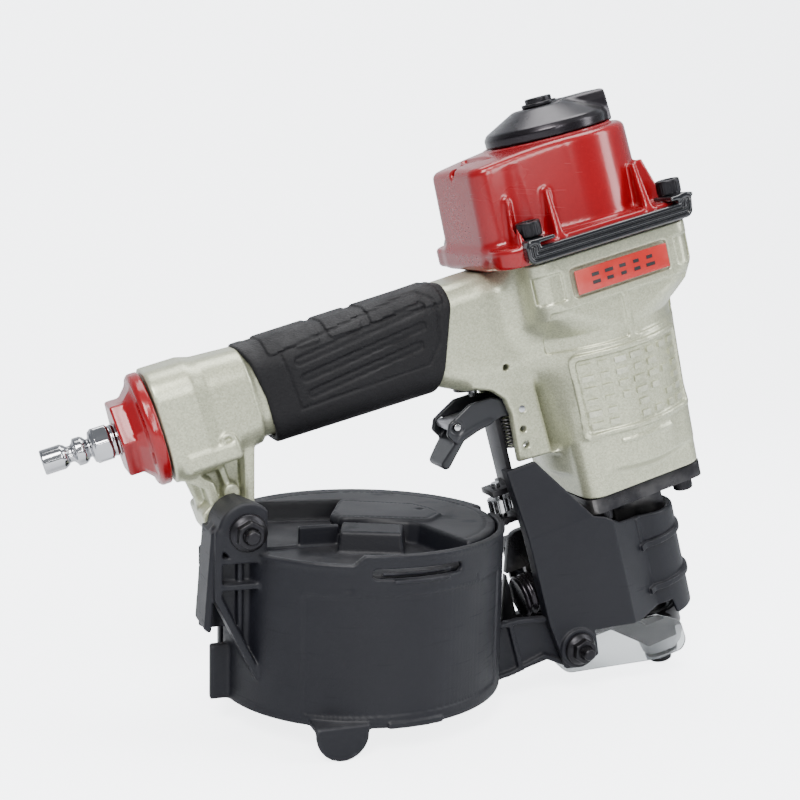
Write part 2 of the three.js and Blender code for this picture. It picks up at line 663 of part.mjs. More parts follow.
function makeDial() {
  const disc = new THREE.Shape();
  const teeth = 14;
  for (let i = 0; i < teeth * 2; i += 1) {
    const angle = (i * Math.PI) / teeth;
    const r = i % 2 ? 4.6 : 5.2;
    const [a, b] = [DIAL[0] + r * Math.cos(angle), DIAL[1] + r * Math.sin(angle)];
    if (i === 0) disc.moveTo(a, b);
    else disc.lineTo(a, b);
  }
  const wheel = solid(new THREE.ExtrudeGeometry(disc, { depth: 6, bevelEnabled: false })
    .translate(0, 0, 101));
  return join(wheel, bar('z', 3.4, 98.8, 109.1, ...DIAL, 12), bar('z', 1.8, 94, 114, ...DIAL, 8));
}

add(driveFrame, 'contact_nose', steel, makeContactNose());
add(driveFrame, 'nose_tip', rubber, turned(ringProfile(3.8, TIP_R, TIP_FACE, 5.3), 24));
add(driveFrame, 'contact_arm', blackOxide, makeContactArm());
add(driveFrame, 'depth_dial', steel, makeDial());

// Nail feed
const FEED_W = 63;
add(driveFrame, 'feed_cylinder', blackOxide, cut(
  join(
    bar('x', 9.5, -68, -59, -12.6, FEED_W, 24),
    bar('x', 6.1, -60, -37, -9.2, FEED_W, 20),
  ),
  bar('x', 4.4, -57, -36, -9.2, FEED_W, 16),
));
add(driveFrame, 'feed_piston', steel, join(
  bar('x', 4.1, -47, -43, -9.2, FEED_W, 14),
  bar('x', 2, -44, -22, -9.2, FEED_W, 12),
));
add(driveFrame, 'feed_pawl', steel, cut(
  flatPlate([[-24, -11], [-14, -11], [-10, -1.5], [-14, -1.5], [-24, -5.5]], 57, 69),
  bar('x', 2 + GAP, -30, -21.5, -9.2, FEED_W, 12),
));

// Nose door
const DOOR_HINGE = [7, 11]; // u, v
const LATCH_PIVOT = [-42.5, 9.8]; // u, v
const LATCH_EARS = [61, 72]; // w of the two ears that hold the latch
function makeDoor() {
  const plate = sidePlate([
    [0.2, 74], [-52, 74, 3], [-62, 50, 3], [-60, 28, 3], [-18, 28], [-18, 38], [0.2, 38],
  ], TRACK + GAP, 6);
  const arm = join(block(-6, 5, 4, 9.2, 46.5, 65), bar('z', 3.2, 46, 65.6, ...DOOR_HINGE, 12));
  const link = block(0, 7, 7.8, 12, 46.5, 65);
  const ribs = [34, 45, 56].map((w) => block(-50, -20, 5.5, 8, w - 1.2, w + 1.2));
  const ears = LATCH_EARS.map((w) => block(-47, -38, 5.5, 12.5, w - 1.5, w + 1.5));
  return cut(
    join(plate, arm, link, ...ribs, ...ears),
    bar('z', 1.5 + GAP, 20, 90, ...DOOR_HINGE, 10),
    bar('z', 1.5 + GAP, 55, 76, ...LATCH_PIVOT, 10),
  );
}

add(driveFrame, 'nose_door', steel, makeDoor());
add(driveFrame, 'door_hinge_pin', steel, bar('z', 1.5, 38.5, 74.5, ...DOOR_HINGE, 10));
add(driveFrame, 'door_latch', blackOxide, cut(
  join(
    block(-60.6, -40, 9.4, 11.6, 63, 70),
    bar('z', 3, 63, 70, ...LATCH_PIVOT, 12),
    block(-60.6, -54, 9.4, 11.6, 63, 83),
    block(-60.6, -58.4, 4, 11.6, 79, 83),
  ),
  bar('z', 1.5 + GAP, 55, 76, ...LATCH_PIVOT, 10),
));
add(driveFrame, 'latch_pin', steel, bar('z', 1.5, 59.8, 73.2, ...LATCH_PIVOT, 10));

// Magazine, row frame
// Half drum wall between two angles, from the inner to the outer radius.
function drumWall(rIn, rOut, from, to, low, high) {
  const shape = new THREE.Shape();
  shape.absarc(DRUM.x, DRUM.y, rOut, from, to, false);
  shape.absarc(DRUM.x, DRUM.y, rIn, to, from, true);
  return solid(new THREE.ExtrudeGeometry(shape, {
    depth: high - low, bevelEnabled: false, curveSegments: 18,
  }).translate(0, 0, low));
}

function rearBoltRow() {
  const [u, w] = REAR_BOLT;
  return [
    u * Math.cos(LEAN) - w * Math.sin(LEAN),
    u * Math.sin(LEAN) + w * Math.cos(LEAN),
  ];
}

const inDrive = (body) => {
  const lean = new THREE.Matrix4().makeRotationY(-LEAN);
  return solid(toGeometry(body).applyMatrix4(lean));
};

function makeMagazineBody() {
  const [boltX, boltZ] = rearBoltRow();
  const { x, y, r, wall, floor, rim } = DRUM;
  const shell = drumWall(r - wall, r, -Math.PI * 0.98, -0.02, floor, rim);
  const step = block(x - 80, x - 21, y - 80, y, rim - 3, rim + 5);
  const floorPlate = bar('z', r, floor, floor + 2.6, x, y, 36);
  const plate = sidePlate([
    [-223, 84, 4], [-226, 45], [-220, 45], [-204, 24], [-200, 24], [-200, 78],
  ], -36, -32.5);
  const edge = sidePlate([[-223.2, 84], [-226.2, 45], [-223.4, 45], [-220.4, 84]], -33, -14);
  const shelves = [48, 66].map((z) => block(-223, -200, -36, -18, z, z + 2.4));
  const boss = bar('y', 11.6, -36, -14, boltX, boltZ, 20);
  const wrapCut = bar('z', r - wall, 0, 120, x, y, 36);
  const nearFoot = join(
    bar('y', FOOT.r, -64.6, -64.6 + FOOT.thick, FOOT.x, FOOT.r, 20),
    block(FOOT.x - FOOT.r, FOOT.x + FOOT.r, -64.6, -64.6 + FOOT.thick, FOOT.r, floor + 2.6),
    block(FOOT.x - FOOT.r, FOOT.x + FOOT.r, -64.6, -50, floor, floor + 2.6),
  );
  const farFoot = join(
    bar('y', FOOT.r, 45, 45 + FOOT.thick, FOOT.x, FOOT.r, 20),
    block(FOOT.x - FOOT.r, FOOT.x + FOOT.r, 45, 45 + FOOT.thick, FOOT.r, floor + 1),
  );
  const feet = cut(join(nearFoot, farFoot),
    block(FOOT.x - 20, FOOT.x + 20, -80, 80, floor + 2.6, 40));
  const hingeArm = block(HINGE.x - 1, -209, -12, -7.6, 40, 73);
  const knuckles = [[40, 50], [65, 73]].map(([a, b]) => bar('z', 4.6, a, b, HINGE.x, HINGE.y, 16));
  const knuckleGap = block(HINGE.x - 8, HINGE.x + 8, -14, -1, 50, 65);
  const noseArm = inDrive(join(
    sidePlate([
      [-100, 62], [-75, 59.5], [-60, 55], [-45, 47, 4], [-44, 31, 5], [-58, 29, 5], [-68, 40],
      [-98, 40],
    ], -26.3, -22.6),
    block(-78, -74, -26.3, -18, 41, 58.5),
  ));
  const slot = block(-166, -130, -80, -50, 69.6, 73.8);
  const noseHole = inDrive(bar('y', 3 + GAP, -40, 0, ...NOSE_BOLT, 12));
  const solids = join(
    cut(shell, step), floorPlate,
    cut(join(plate, edge, ...shelves), wrapCut), boss, feet,
    cut(hingeArm, wrapCut, knuckleGap), ...knuckles,
    cut(noseArm, wrapCut),
  );
  return cut(
    solids, slot, noseHole,
    bar('y', 4 + GAP, -60, 0, boltX, boltZ, 16),
    bar('z', 2 + GAP, 30, 90, HINGE.x, HINGE.y, 12),
    bar('z', 4.2, floor - 1, floor + 4, x, y, 4),
  );
}

function makeMagazineCover() {
  const { x, y, r, wall, floor, rim } = DRUM;
  const low = floor + 2.6 + GAP;
  const lidTop = rim + 0.8;
  const wallBody = drumWall(r - wall, r, 0.14, Math.PI * 0.985, low, lidTop);
  const deck = bar('z', r - wall - 1.2, 68, 70.5, x, y, 36);
  const deckFar = drumWall(1, r - 0.5, 0.16, Math.PI * 0.975, 68, 70.5);
  const raisedShape = [
    [-176, -44], [-146, -30], [-138, -38, 6], [-120, -52], [-100, -36], [-96, 0], [-100, 30],
    [-130, 54], [-170, 54], [-190, 40], [-160, 10],
  ];
  const inside = bar('z', r - wall - 1.2, 60, 90, x, y, 36);
  const raised = flatPlate(raisedShape, 69, lidTop).intersect(inside);
  const hollow = flatPlate([
    [-170, -38], [-146, -27], [-120, -46], [-104, -34], [-100, 0], [-104, 28], [-130, 48],
    [-168, 48], [-178, 40], [-152, 12],
  ], 60, lidTop - 2.5).intersect(bar('z', r - wall - 4, 60, 90, x, y, 36));
  const lidBlock = block(-176, -144, -54, -24, 69, lidTop);
  const blockHollow = block(-173, -147, -51, -20, 60, lidTop - 2.5);
  const rib = block(-208, -168, -12, -9.5, 70, lidTop).intersect(inside);
  const knuckle = bar('z', 4.6, 50.4, 64.6, HINGE.x, HINGE.y, 14);
  const hingeArm = block(HINGE.x - 2, -206, -7.2, -3.4, 50.4, 64.6)
    .subtract(bar('z', r - wall, 0, 120, x, y, 36));
  const wallLink = drumWall(r - wall, r, Math.PI * 0.96, Math.PI * 1.005, 50.4, 64.6);
  const tongue = flatPlate([
    [-160, 13, 3], [-132, 2, 5], [-120, -12, 8], [-132, -30, 5], [-146, -22, 3],
  ], lidTop - 1, lidTop + 1);
  return cut(
    join(wallBody, deck, deckFar, raised, lidBlock.intersect(inside), rib, knuckle, hingeArm,
      wallLink, tongue),
    hollow, blockHollow,
    bar('z', 2 + GAP, 30, 90, HINGE.x, HINGE.y, 12),
    bar('z', 36, 71.5, 90, HINGE.x, HINGE.y, 32),
  );
}

add(rowFrame, 'magazine_body', blackPlastic, makeMagazineBody());
add(rowFrame, 'magazine_cover', blackPlastic, makeMagazineCover());
add(rowFrame, 'magazine_hinge_pin', steel, bar('z', 2, 40.5, 72.5, HINGE.x, HINGE.y, 10));
add(rowFrame, 'support_post', steel, join(
  bar('z', 4.6, DRUM.floor + 2.6 + GAP, 64, DRUM.x, DRUM.y, 12),
  bar('z', 2.4, DRUM.floor + 0.4, 20, DRUM.x, DRUM.y, 8),
));
add(rowFrame, 'nail_support', blackPlastic, cut(
  join(
    bar('z', 46, 17, 19.6, DRUM.x, DRUM.y, 28),
    bar('z', 9, 17, 32, DRUM.x, DRUM.y, 14),
  ),
  bar('z', 4.6 + GAP, 10, 40, DRUM.x, DRUM.y, 12),
));
add(driveFrame, 'rear_bolt', blackOxide, join(
  bar('y', 8.8, -38, -36.3, ...REAR_BOLT, 16),
  bar('y', 7.2, -43.5, -37.5, ...REAR_BOLT, 6),
  bar('y', 4, -47, 18, ...REAR_BOLT, 10),
));

// Whole tool on its footprint
const nailer = new THREE.Group();
nailer.add(driveFrame, rowFrame);
nailer.updateMatrixWorld(true);
const extent = new THREE.Box3().setFromObject(nailer, true);
const centre = extent.getCenter(new THREE.Vector3());
nailer.position.set(-centre.x, -centre.y, -extent.min.z);

export default nailer;
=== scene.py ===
import math

import bmesh
import bpy
import numpy as np
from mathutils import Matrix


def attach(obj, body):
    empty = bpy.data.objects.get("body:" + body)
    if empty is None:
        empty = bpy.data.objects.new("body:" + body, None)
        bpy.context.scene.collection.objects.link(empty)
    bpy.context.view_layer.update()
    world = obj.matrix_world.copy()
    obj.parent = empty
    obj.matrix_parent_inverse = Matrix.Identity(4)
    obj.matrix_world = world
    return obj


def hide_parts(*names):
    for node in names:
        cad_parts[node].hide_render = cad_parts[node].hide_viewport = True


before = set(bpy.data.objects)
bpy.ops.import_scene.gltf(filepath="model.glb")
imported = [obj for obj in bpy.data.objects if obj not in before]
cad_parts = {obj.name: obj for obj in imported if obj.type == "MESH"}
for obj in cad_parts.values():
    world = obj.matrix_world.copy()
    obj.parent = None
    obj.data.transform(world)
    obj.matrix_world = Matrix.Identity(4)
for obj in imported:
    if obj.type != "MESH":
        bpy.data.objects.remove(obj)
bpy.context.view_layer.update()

import openvdb
from mathutils import Matrix, Vector

# Lengths in the shape code are millimetres. The barrel, handle and nose are drawn in the driver
# frame (u forward, v across, w up along the driver), the magazine in the row frame.
placing = {"lean": math.radians(16.5), "shiftX": 136.987, "shiftY": 5.0}
cosLean, sinLean = math.cos(placing["lean"]), math.sin(placing["lean"])


def driveToRow(points):
    u, v, w = points[:, 0], points[:, 1], points[:, 2]
    return np.stack([u * cosLean - w * sinLean + placing["shiftX"], v + placing["shiftY"],
                     u * sinLean + w * cosLean], 1) / 1000


def levelToRow(points):
    return (points + np.array([placing["shiftX"], placing["shiftY"], 0.0])) / 1000


driveMatrix = (Matrix.Translation((placing["shiftX"] / 1000, placing["shiftY"] / 1000, 0))
               @ Matrix.Rotation(-placing["lean"], 4, "Y"))


# camera, light and floor

view = {"place": (-0.18314, -0.48768, 0.19974), "azimuth": -20.5, "elevation": 7.7, "roll": -1.3,
        "lens": 56.2}


def makeCamera():
    a, e, r = (math.radians(view[k]) for k in ("azimuth", "elevation", "roll"))
    back = Vector((math.sin(a) * math.cos(e), -math.cos(a) * math.cos(e), math.sin(e)))
    right = Vector((math.cos(a), math.sin(a), 0))
    up = back.cross(right)
    camRight = right * math.cos(r) - up * math.sin(r)
    camUp = right * math.sin(r) + up * math.cos(r)
    data = bpy.data.cameras.new("studioCamera")
    data.lens, data.sensor_width = view["lens"], 36
    data.clip_start, data.clip_end = 0.01, 30
    camera = bpy.data.objects.new("studioCamera", data)
    turned = Matrix((camRight, camUp, back)).transposed().to_4x4()
    camera.matrix_world = Matrix.Translation(view["place"]) @ turned
    bpy.context.collection.objects.link(camera)
    bpy.context.scene.camera = camera


studio = {
    "softboxes": [  # name, place, aimed at, width, height, watts, colour
        ("keyBox", (-0.62, -0.95, 1.15), (0.0, 0.0, 0.12), 0.6, 0.7, 30, (1.0, 0.985, 0.965)),
        ("sideBox", (1.0, -0.55, 0.75), (0.05, 0.0, 0.14), 0.35, 1.1, 13, (0.97, 0.985, 1.0)),
        ("topBox", (0.1, 0.25, 1.35), (0.0, 0.0, 0.1), 1.0, 0.7, 17, (1.0, 1.0, 1.0)),
        ("frontStrip", (-0.02, -1.25, 0.62), (0.08, 0.0, 0.19), 0.16, 0.8, 7, (1.0, 1.0, 1.0)),
    ],
    "air": (0.90, 0.94, 1.0), "airStrength": 0.36, "backdrop": 12.0,
}


def makeStudio():
    for name, place, aim, width, height, watts, colour in studio["softboxes"]:
        data = bpy.data.lights.new(name, "AREA")
        data.shape, data.size, data.size_y = "RECTANGLE", width, height
        data.energy, data.color = watts, colour
        light = bpy.data.objects.new(name, data)
        light.matrix_world = (Matrix.Translation(place)
                              @ (Vector(place) - Vector(aim)).to_track_quat("Z", "Y").to_matrix().to_4x4())
        bpy.context.collection.objects.link(light)
    world = bpy.data.worlds.new("studioAir")
    world.use_nodes = True
    tree = world.node_tree
    air = tree.nodes["Background"]
    air.inputs["Color"].default_value = (*studio["air"], 1)
    # brighter behind than on the object
    seen = tree.nodes.new("ShaderNodeLightPath").outputs["Is Camera Ray"]
    level = tree.nodes.new("ShaderNodeMapRange")
    level.inputs["To Min"].default_value = studio["airStrength"]
    level.inputs["To Max"].default_value = studio["backdrop"]
    tree.links.new(seen, level.inputs["Value"])
    tree.links.new(level.outputs[0], air.inputs["Strength"])
    bpy.context.scene.world = world


sweep = {"halfWidth": 4.0, "front": -3.0, "wall": 1.6, "bend": 0.9, "height": 3.0, "steps": 14}


def makeSweep(material):
    profile = [(sweep["front"], 0.0), (sweep["wall"] - sweep["bend"], 0.0)]
    for i in range(1, sweep["steps"] + 1):
        angle = i / sweep["steps"] * math.pi / 2
        profile.append((sweep["wall"] - sweep["bend"] + sweep["bend"] * math.sin(angle),
                        sweep["bend"] * (1 - math.cos(angle))))
    profile.append((sweep["wall"], sweep["height"]))
    bm = bmesh.new()
    rows = [[bm.verts.new((side * sweep["halfWidth"], y, z)) for y, z in profile] for side in (-1, 1)]
    for i in range(len(profile) - 1):
        bm.faces.new((rows[0][i], rows[1][i], rows[1][i + 1], rows[0][i + 1]))
    mesh = bpy.data.meshes.new("paperSweep")
    bm.to_mesh(mesh)
    bm.free()
    mesh.shade_smooth()
    floor = bpy.data.objects.new("paperSweep", mesh)
    floor.data.materials.append(material)
    bpy.context.collection.objects.link(floor)


makeCamera()
makeStudio()
print("camera and studio ready")


# shader groups shared by the finishes

def newGroup(name, inputs, outputs):
    tree = bpy.data.node_groups.new(name, "ShaderNodeTree")
    for label, kind, value in inputs:
        tree.interface.new_socket(label, in_out="INPUT", socket_type=kind).default_value = value
    for label, kind in outputs:
        tree.interface.new_socket(label, in_out="OUTPUT", socket_type=kind)
    return tree, tree.nodes.new("NodeGroupInput"), tree.nodes.new("NodeGroupOutput")


def addNode(tree, kind, values=(), **settings):
    node = tree.nodes.new(kind)
    for key, value in settings.items():
        setattr(node, key, value)
    for label, value in values:
        if isinstance(value, bpy.types.NodeSocket):
            tree.links.new(value, node.inputs[label])
        else:
            node.inputs[label].default_value = value
    return node


def doMath(tree, operation, a, b=0.0, clamp=False):
    return addNode(tree, "ShaderNodeMath", [(0, a), (1, b)], operation=operation, use_clamp=clamp).outputs[0]


def spreadOut(tree, value, low, high):  # low to high becomes 0 to 1, clamped
    return addNode(tree, "ShaderNodeMapRange", [("Value", value), ("From Min", low),
                                                ("From Max", high)]).outputs[0]


def mixColour(tree, amount, a, b, blend="MIX"):
    node = addNode(tree, "ShaderNodeMix", data_type="RGBA", blend_type=blend)
    for index, value in ((0, amount), (6, a), (7, b)):
        if isinstance(value, bpy.types.NodeSocket):
            tree.links.new(value, node.inputs[index])
        else:
            node.inputs[index].default_value = value
    return node.outputs[2]


floatKind, colourKind, vectorKind = "NodeSocketFloat", "NodeSocketColor", "NodeSocketVector"


def makeGrainGroup():  # moulded or cast surface: fine pebbles over a slow wave
    tree, start, end = newGroup("surfaceGrain", [("Scale", floatKind, 900.0), ("Pebble", floatKind, 0.5)],
                                [("Height", floatKind), ("Mask", floatKind)])
    where = addNode(tree, "ShaderNodeTexCoord").outputs["Object"]
    noise = addNode(tree, "ShaderNodeTexNoise", [("Vector", where), ("Scale", start.outputs["Scale"]),
                                                 ("Detail", 3.0), ("Roughness", 0.6)])
    cells = addNode(tree, "ShaderNodeTexVoronoi", [("Vector", where), ("Scale", start.outputs["Scale"])],
                    feature="SMOOTH_F1")
    pebbles = doMath(tree, "MULTIPLY", cells.outputs["Distance"], start.outputs["Pebble"])
    tree.links.new(doMath(tree, "ADD", noise.outputs["Fac"], pebbles), end.inputs["Height"])
    slow = addNode(tree, "ShaderNodeTexNoise", [("Vector", where), ("Scale", 26.0), ("Detail", 4.0)])
    tree.links.new(slow.outputs["Fac"], end.inputs["Mask"])
    return tree


def makeFlakeGroup():  # metal flakes that catch light in a paint
    tree, start, end = newGroup("paintFlake", [("Scale", floatKind, 2600.0), ("Sparkle", floatKind, 0.2),
                                               ("Colour", colourKind, (0.5, 0.5, 0.5, 1))],
                                [("Colour", colourKind), ("Height", floatKind)])
    where = addNode(tree, "ShaderNodeTexCoord").outputs["Object"]
    cells = addNode(tree, "ShaderNodeTexVoronoi", [("Vector", where), ("Scale", start.outputs["Scale"])])
    grey = addNode(tree, "ShaderNodeSeparateColor", [("Color", cells.outputs["Color"])]).outputs[0]
    swing = doMath(tree, "MULTIPLY", doMath(tree, "SUBTRACT", grey, 0.5), start.outputs["Sparkle"])
    level = doMath(tree, "ADD", swing, 1.0)
    tree.links.new(mixColour(tree, 1.0, start.outputs["Colour"], level, "MULTIPLY"), end.inputs["Colour"])
    tree.links.new(grey, end.inputs["Height"])
    return tree


def makeWearGroup():  # worn outer corners, broken up by noise
    tree, start, end = newGroup("edgeWear", [("Start", floatKind, 0.54), ("Full", floatKind, 0.62),
                                             ("Break Up", floatKind, 70.0)], [("Mask", floatKind)])
    point = addNode(tree, "ShaderNodeNewGeometry").outputs["Pointiness"]
    where = addNode(tree, "ShaderNodeTexCoord").outputs["Object"]
    noise = addNode(tree, "ShaderNodeTexNoise", [("Vector", where), ("Scale", start.outputs["Break Up"]),
                                                 ("Detail", 6.0)]).outputs["Fac"]
    edge = spreadOut(tree, point, start.outputs["Start"], start.outputs["Full"])
    patch = spreadOut(tree, noise, 0.42, 0.66)
    tree.links.new(doMath(tree, "MULTIPLY", edge, patch, clamp=True), end.inputs["Mask"])
    return tree


def makeDustGroup():  # settled dust on faces that look up
    tree, start, end = newGroup("dustFilm", [("Amount", floatKind, 0.1)], [("Mask", floatKind)])
    up = addNode(tree, "ShaderNodeSeparateXYZ",
                 [(0, addNode(tree, "ShaderNodeNewGeometry").outputs["Normal"])]).outputs["Z"]
    where = addNode(tree, "ShaderNodeTexCoord").outputs["Object"]
    noise = addNode(tree, "ShaderNodeTexNoise", [("Vector", where), ("Scale", 55.0), ("Detail", 8.0),
                                                 ("Roughness", 0.65)]).outputs["Fac"]
    settled = spreadOut(tree, up, 0.2, 1.0)
    spread = spreadOut(tree, noise, 0.35, 0.8)
    tree.links.new(doMath(tree, "MULTIPLY", doMath(tree, "MULTIPLY", settled, spread),
                          start.outputs["Amount"]), end.inputs["Mask"])
    return tree


def makeScuffGroup():  # thin rubbed streaks
    tree, start, end = newGroup("rubbedStreaks",
                                [("Amount", floatKind, 0.2), ("Stretch", vectorKind, (1, 1, 14))],
                                [("Mask", floatKind)])
    where = addNode(tree, "ShaderNodeTexCoord").outputs["Object"]
    turned = addNode(tree, "ShaderNodeMapping", [("Vector", where), ("Rotation", (0.5, 0.9, 0.3)),
                                                 ("Scale", start.outputs["Stretch"])]).outputs[0]
    noise = addNode(tree, "ShaderNodeTexNoise", [("Vector", turned), ("Scale", 60.0), ("Detail", 5.0)])
    thin = spreadOut(tree, noise.outputs["Fac"], 0.62, 0.7)
    tree.links.new(doMath(tree, "MULTIPLY", thin, start.outputs["Amount"]), end.inputs["Mask"])
    return tree


groups = {"grain": makeGrainGroup(), "flake": makeFlakeGroup(), "wear": makeWearGroup(),
          "dust": makeDustGroup(), "scuff": makeScuffGroup()}

# colour, second colour for slow variation, roughness and its swing, metalness, coat, grain scale,
# grain bump, pebbles, flake sparkle, worn edge colour and share, dust, streaks
finishes = {
    "castPaint": dict(colour=(0.450, 0.462, 0.335), second=(0.390, 0.402, 0.290), rough=0.34, swing=0.10,
                      metal=0.55, coat=0.25, coatRough=0.22, grain=420, bump=0.05, sparkle=0.34, flake=1700,
                      wear=(0.80, 0.80, 0.76), wearShare=0.25, dust=0.05, scuff=0.10),
    "redPaint": dict(colour=(0.250, 0.0014, 0.0050), second=(0.190, 0.0011, 0.0038), rough=0.24, swing=0.08,
                     metal=0.10, coat=0.4, coatRough=0.10, specular=0.3, grain=160, bump=0.035,
                     sparkle=0.10, flake=1500, wear=(0.60, 0.05, 0.05), wearShare=0.35, dust=0.04,
                     scuff=0.12),
    "mouldedBlack": dict(specular=0.26, colour=(0.0062, 0.0066, 0.0100), second=(0.0045, 0.0048, 0.0074),
                         rough=0.47, swing=0.14, metal=0.0, grain=1500, bump=0.10, pebble=0.6,
                         wear=(0.10, 0.10, 0.115), wearShare=0.30, dust=0.10, scuff=0.35),
    "gripRubber": dict(specular=0.22, colour=(0.0050, 0.0048, 0.0060), second=(0.0035, 0.0034, 0.0043),
                       rough=0.62, swing=0.12, metal=0.0, grain=1100, bump=0.42, pebble=1.6,
                       wear=(0.055, 0.055, 0.06), wearShare=0.25, dust=0.12, scuff=0.20),
    "blackSteel": dict(specular=0.4, colour=(0.012, 0.012, 0.014), second=(0.022, 0.021, 0.024), rough=0.32,
                       swing=0.16, metal=0.75, grain=700, bump=0.08, wear=(0.35, 0.34, 0.33), wearShare=0.5,
                       dust=0.06, scuff=0.25),
    "blackAlloy": dict(specular=0.4, colour=(0.014, 0.012, 0.015), second=(0.022, 0.019, 0.023), rough=0.26,
                       swing=0.08, metal=0.8, coat=0.2, coatRough=0.2, grain=900, bump=0.03,
                       wear=(0.22, 0.2, 0.2), wearShare=0.4, dust=0.08, scuff=0.15),
    "glossBlack": dict(colour=(0.005, 0.0055, 0.007), second=(0.009, 0.0095, 0.012), rough=0.17, swing=0.08,
                       metal=0.1, coat=0.6, coatRough=0.08, grain=300, bump=0.04, wear=(0.16, 0.16, 0.16),
                       wearShare=0.45, dust=0.03, scuff=0.15),
    "triggerBlack": dict(specular=0.4, colour=(0.010, 0.0105, 0.013), second=(0.022, 0.023, 0.027),
                         rough=0.33, swing=0.12, metal=0.3, coat=0.2, coatRough=0.2, grain=800, bump=0.05,
                         wear=(0.45, 0.45, 0.44), wearShare=0.6, dust=0.04, scuff=0.3),
    "noseSteel": dict(colour=(0.300, 0.305, 0.315), second=(0.230, 0.235, 0.245), rough=0.38, swing=0.16,
                      metal=0.85, grain=600, bump=0.10, wear=(0.65, 0.65, 0.65), wearShare=0.4, dust=0.04,
                      scuff=0.35),
    "brightSteel": dict(colour=(0.620, 0.625, 0.635), second=(0.500, 0.505, 0.515), rough=0.20, swing=0.12,
                        metal=1.0, grain=900, bump=0.03, wear=(0.8, 0.8, 0.8), wearShare=0.3, dust=0.02,
                        scuff=0.3),
    "sheetSteel": dict(colour=(0.360, 0.355, 0.375), second=(0.300, 0.295, 0.315), rough=0.36, swing=0.12,
                       metal=0.75, grain=600, bump=0.05, wear=(0.7, 0.7, 0.7), wearShare=0.4, dust=0.03,
                       scuff=0.3),
    "plugChrome": dict(colour=(0.500, 0.505, 0.525), second=(0.430, 0.435, 0.450), rough=0.09, swing=0.09,
                       metal=1.0, grain=500, bump=0.02, wear=(0.9, 0.9, 0.9), wearShare=0.3, dust=0.02,
                       scuff=0.35),
    "linerAlloy": dict(colour=(0.550, 0.555, 0.560), second=(0.480, 0.485, 0.490), rough=0.25, swing=0.1,
                       metal=1.0, grain=800, bump=0.04, wear=(0.8, 0.8, 0.8), wearShare=0.2, dust=0.0,
                       scuff=0.3),
    "softBlack": dict(specular=0.25, colour=(0.007, 0.007, 0.008), second=(0.011, 0.011, 0.012), rough=0.66,
                      swing=0.1, metal=0.0, grain=1200, bump=0.14, pebble=0.8, wear=(0.05, 0.05, 0.05),
                      wearShare=0.3, dust=0.06, scuff=0.1),
    "labelRed": dict(colour=(0.420, 0.008, 0.005), second=(0.370, 0.011, 0.008), rough=0.30, swing=0.06,
                     metal=0.15, coat=0.4, coatRough=0.12, grain=300, bump=0.02, wear=(0.7, 0.3, 0.25),
                     wearShare=0.3, dust=0.03, scuff=0.1),
    "labelInk": dict(colour=(0.008, 0.007, 0.008), second=(0.013, 0.011, 0.012), rough=0.38, swing=0.06,
                     metal=0.0, grain=600, bump=0.02, wear=(0.1, 0.1, 0.1), wearShare=0.2, dust=0.0,
                     scuff=0.1),
    "sweepPaper": dict(colour=(0.83, 0.845, 0.87), second=(0.80, 0.82, 0.85), rough=0.55, swing=0.08,
                       metal=0.0, grain=300, bump=0.01, wear=(0.85, 0.85, 0.85), wearShare=0.0, dust=0.0,
                       scuff=0.0, glow=4.5),
}


def useGroup(tree, key, values):
    node = tree.nodes.new("ShaderNodeGroup")
    node.node_tree = groups[key]
    for label, value in values:
        node.inputs[label].default_value = value
    return node


def makeFinish(name, f):
    material = bpy.data.materials.new(name)
    material.use_nodes = True
    tree = material.node_tree
    shader = tree.nodes["Principled BSDF"]
    grain = useGroup(tree, "grain", [("Scale", f["grain"]), ("Pebble", f.get("pebble", 0.0))])
    wear = useGroup(tree, "wear", [("Start", 0.535), ("Full", 0.60)])
    dust = useGroup(tree, "dust", [("Amount", f["dust"])])
    scuff = useGroup(tree, "scuff", [("Amount", f["scuff"])])
    body = mixColour(tree, grain.outputs["Mask"], (*f["colour"], 1), (*f["second"], 1))
    height = grain.outputs["Height"]
    if "sparkle" in f:
        flake = useGroup(tree, "flake", [("Scale", f["flake"]), ("Sparkle", f["sparkle"])])
        tree.links.new(body, flake.inputs["Colour"])
        body = flake.outputs["Colour"]
        height = doMath(tree, "ADD", height, doMath(tree, "MULTIPLY", flake.outputs["Height"], 0.5))
    rub = doMath(tree, "MULTIPLY", wear.outputs["Mask"], f["wearShare"], clamp=True)
    body = mixColour(tree, rub, body, (*f["wear"], 1))
    body = mixColour(tree, dust.outputs["Mask"], body, (0.45, 0.45, 0.46, 1))
    tree.links.new(body, shader.inputs["Base Color"])
    rough = doMath(tree, "ADD", doMath(tree, "MULTIPLY", grain.outputs["Mask"], f["swing"] * 2),
                   f["rough"] - f["swing"])
    rough = doMath(tree, "ADD", rough, doMath(tree, "MULTIPLY", scuff.outputs["Mask"], 0.3))
    rough = doMath(tree, "ADD", rough, doMath(tree, "MULTIPLY", dust.outputs["Mask"], 1.2), clamp=True)
    tree.links.new(rough, shader.inputs["Roughness"])
    shader.inputs["Metallic"].default_value = f["metal"]
    shader.inputs["Coat Weight"].default_value = f.get("coat", 0.0)
    shader.inputs["Coat Roughness"].default_value = f.get("coatRough", 0.1)
    shader.inputs["Specular IOR Level"].default_value = f.get("specular", 0.5)
    if "glow" in f:  # the paper looks lit to the camera without lighting the object
        seen = addNode(tree, "ShaderNodeLightPath").outputs["Is Camera Ray"]
        shader.inputs["Emission Color"].default_value = (*f["colour"], 1)
        tree.links.new(doMath(tree, "MULTIPLY", seen, f["glow"]), shader.inputs["Emission Strength"])
    bump = addNode(tree, "ShaderNodeBump",
                   [("Height", height), ("Strength", f["bump"]), ("Distance", 0.0004)])
    tree.links.new(bump.outputs[0], shader.inputs["Normal"])
    return material


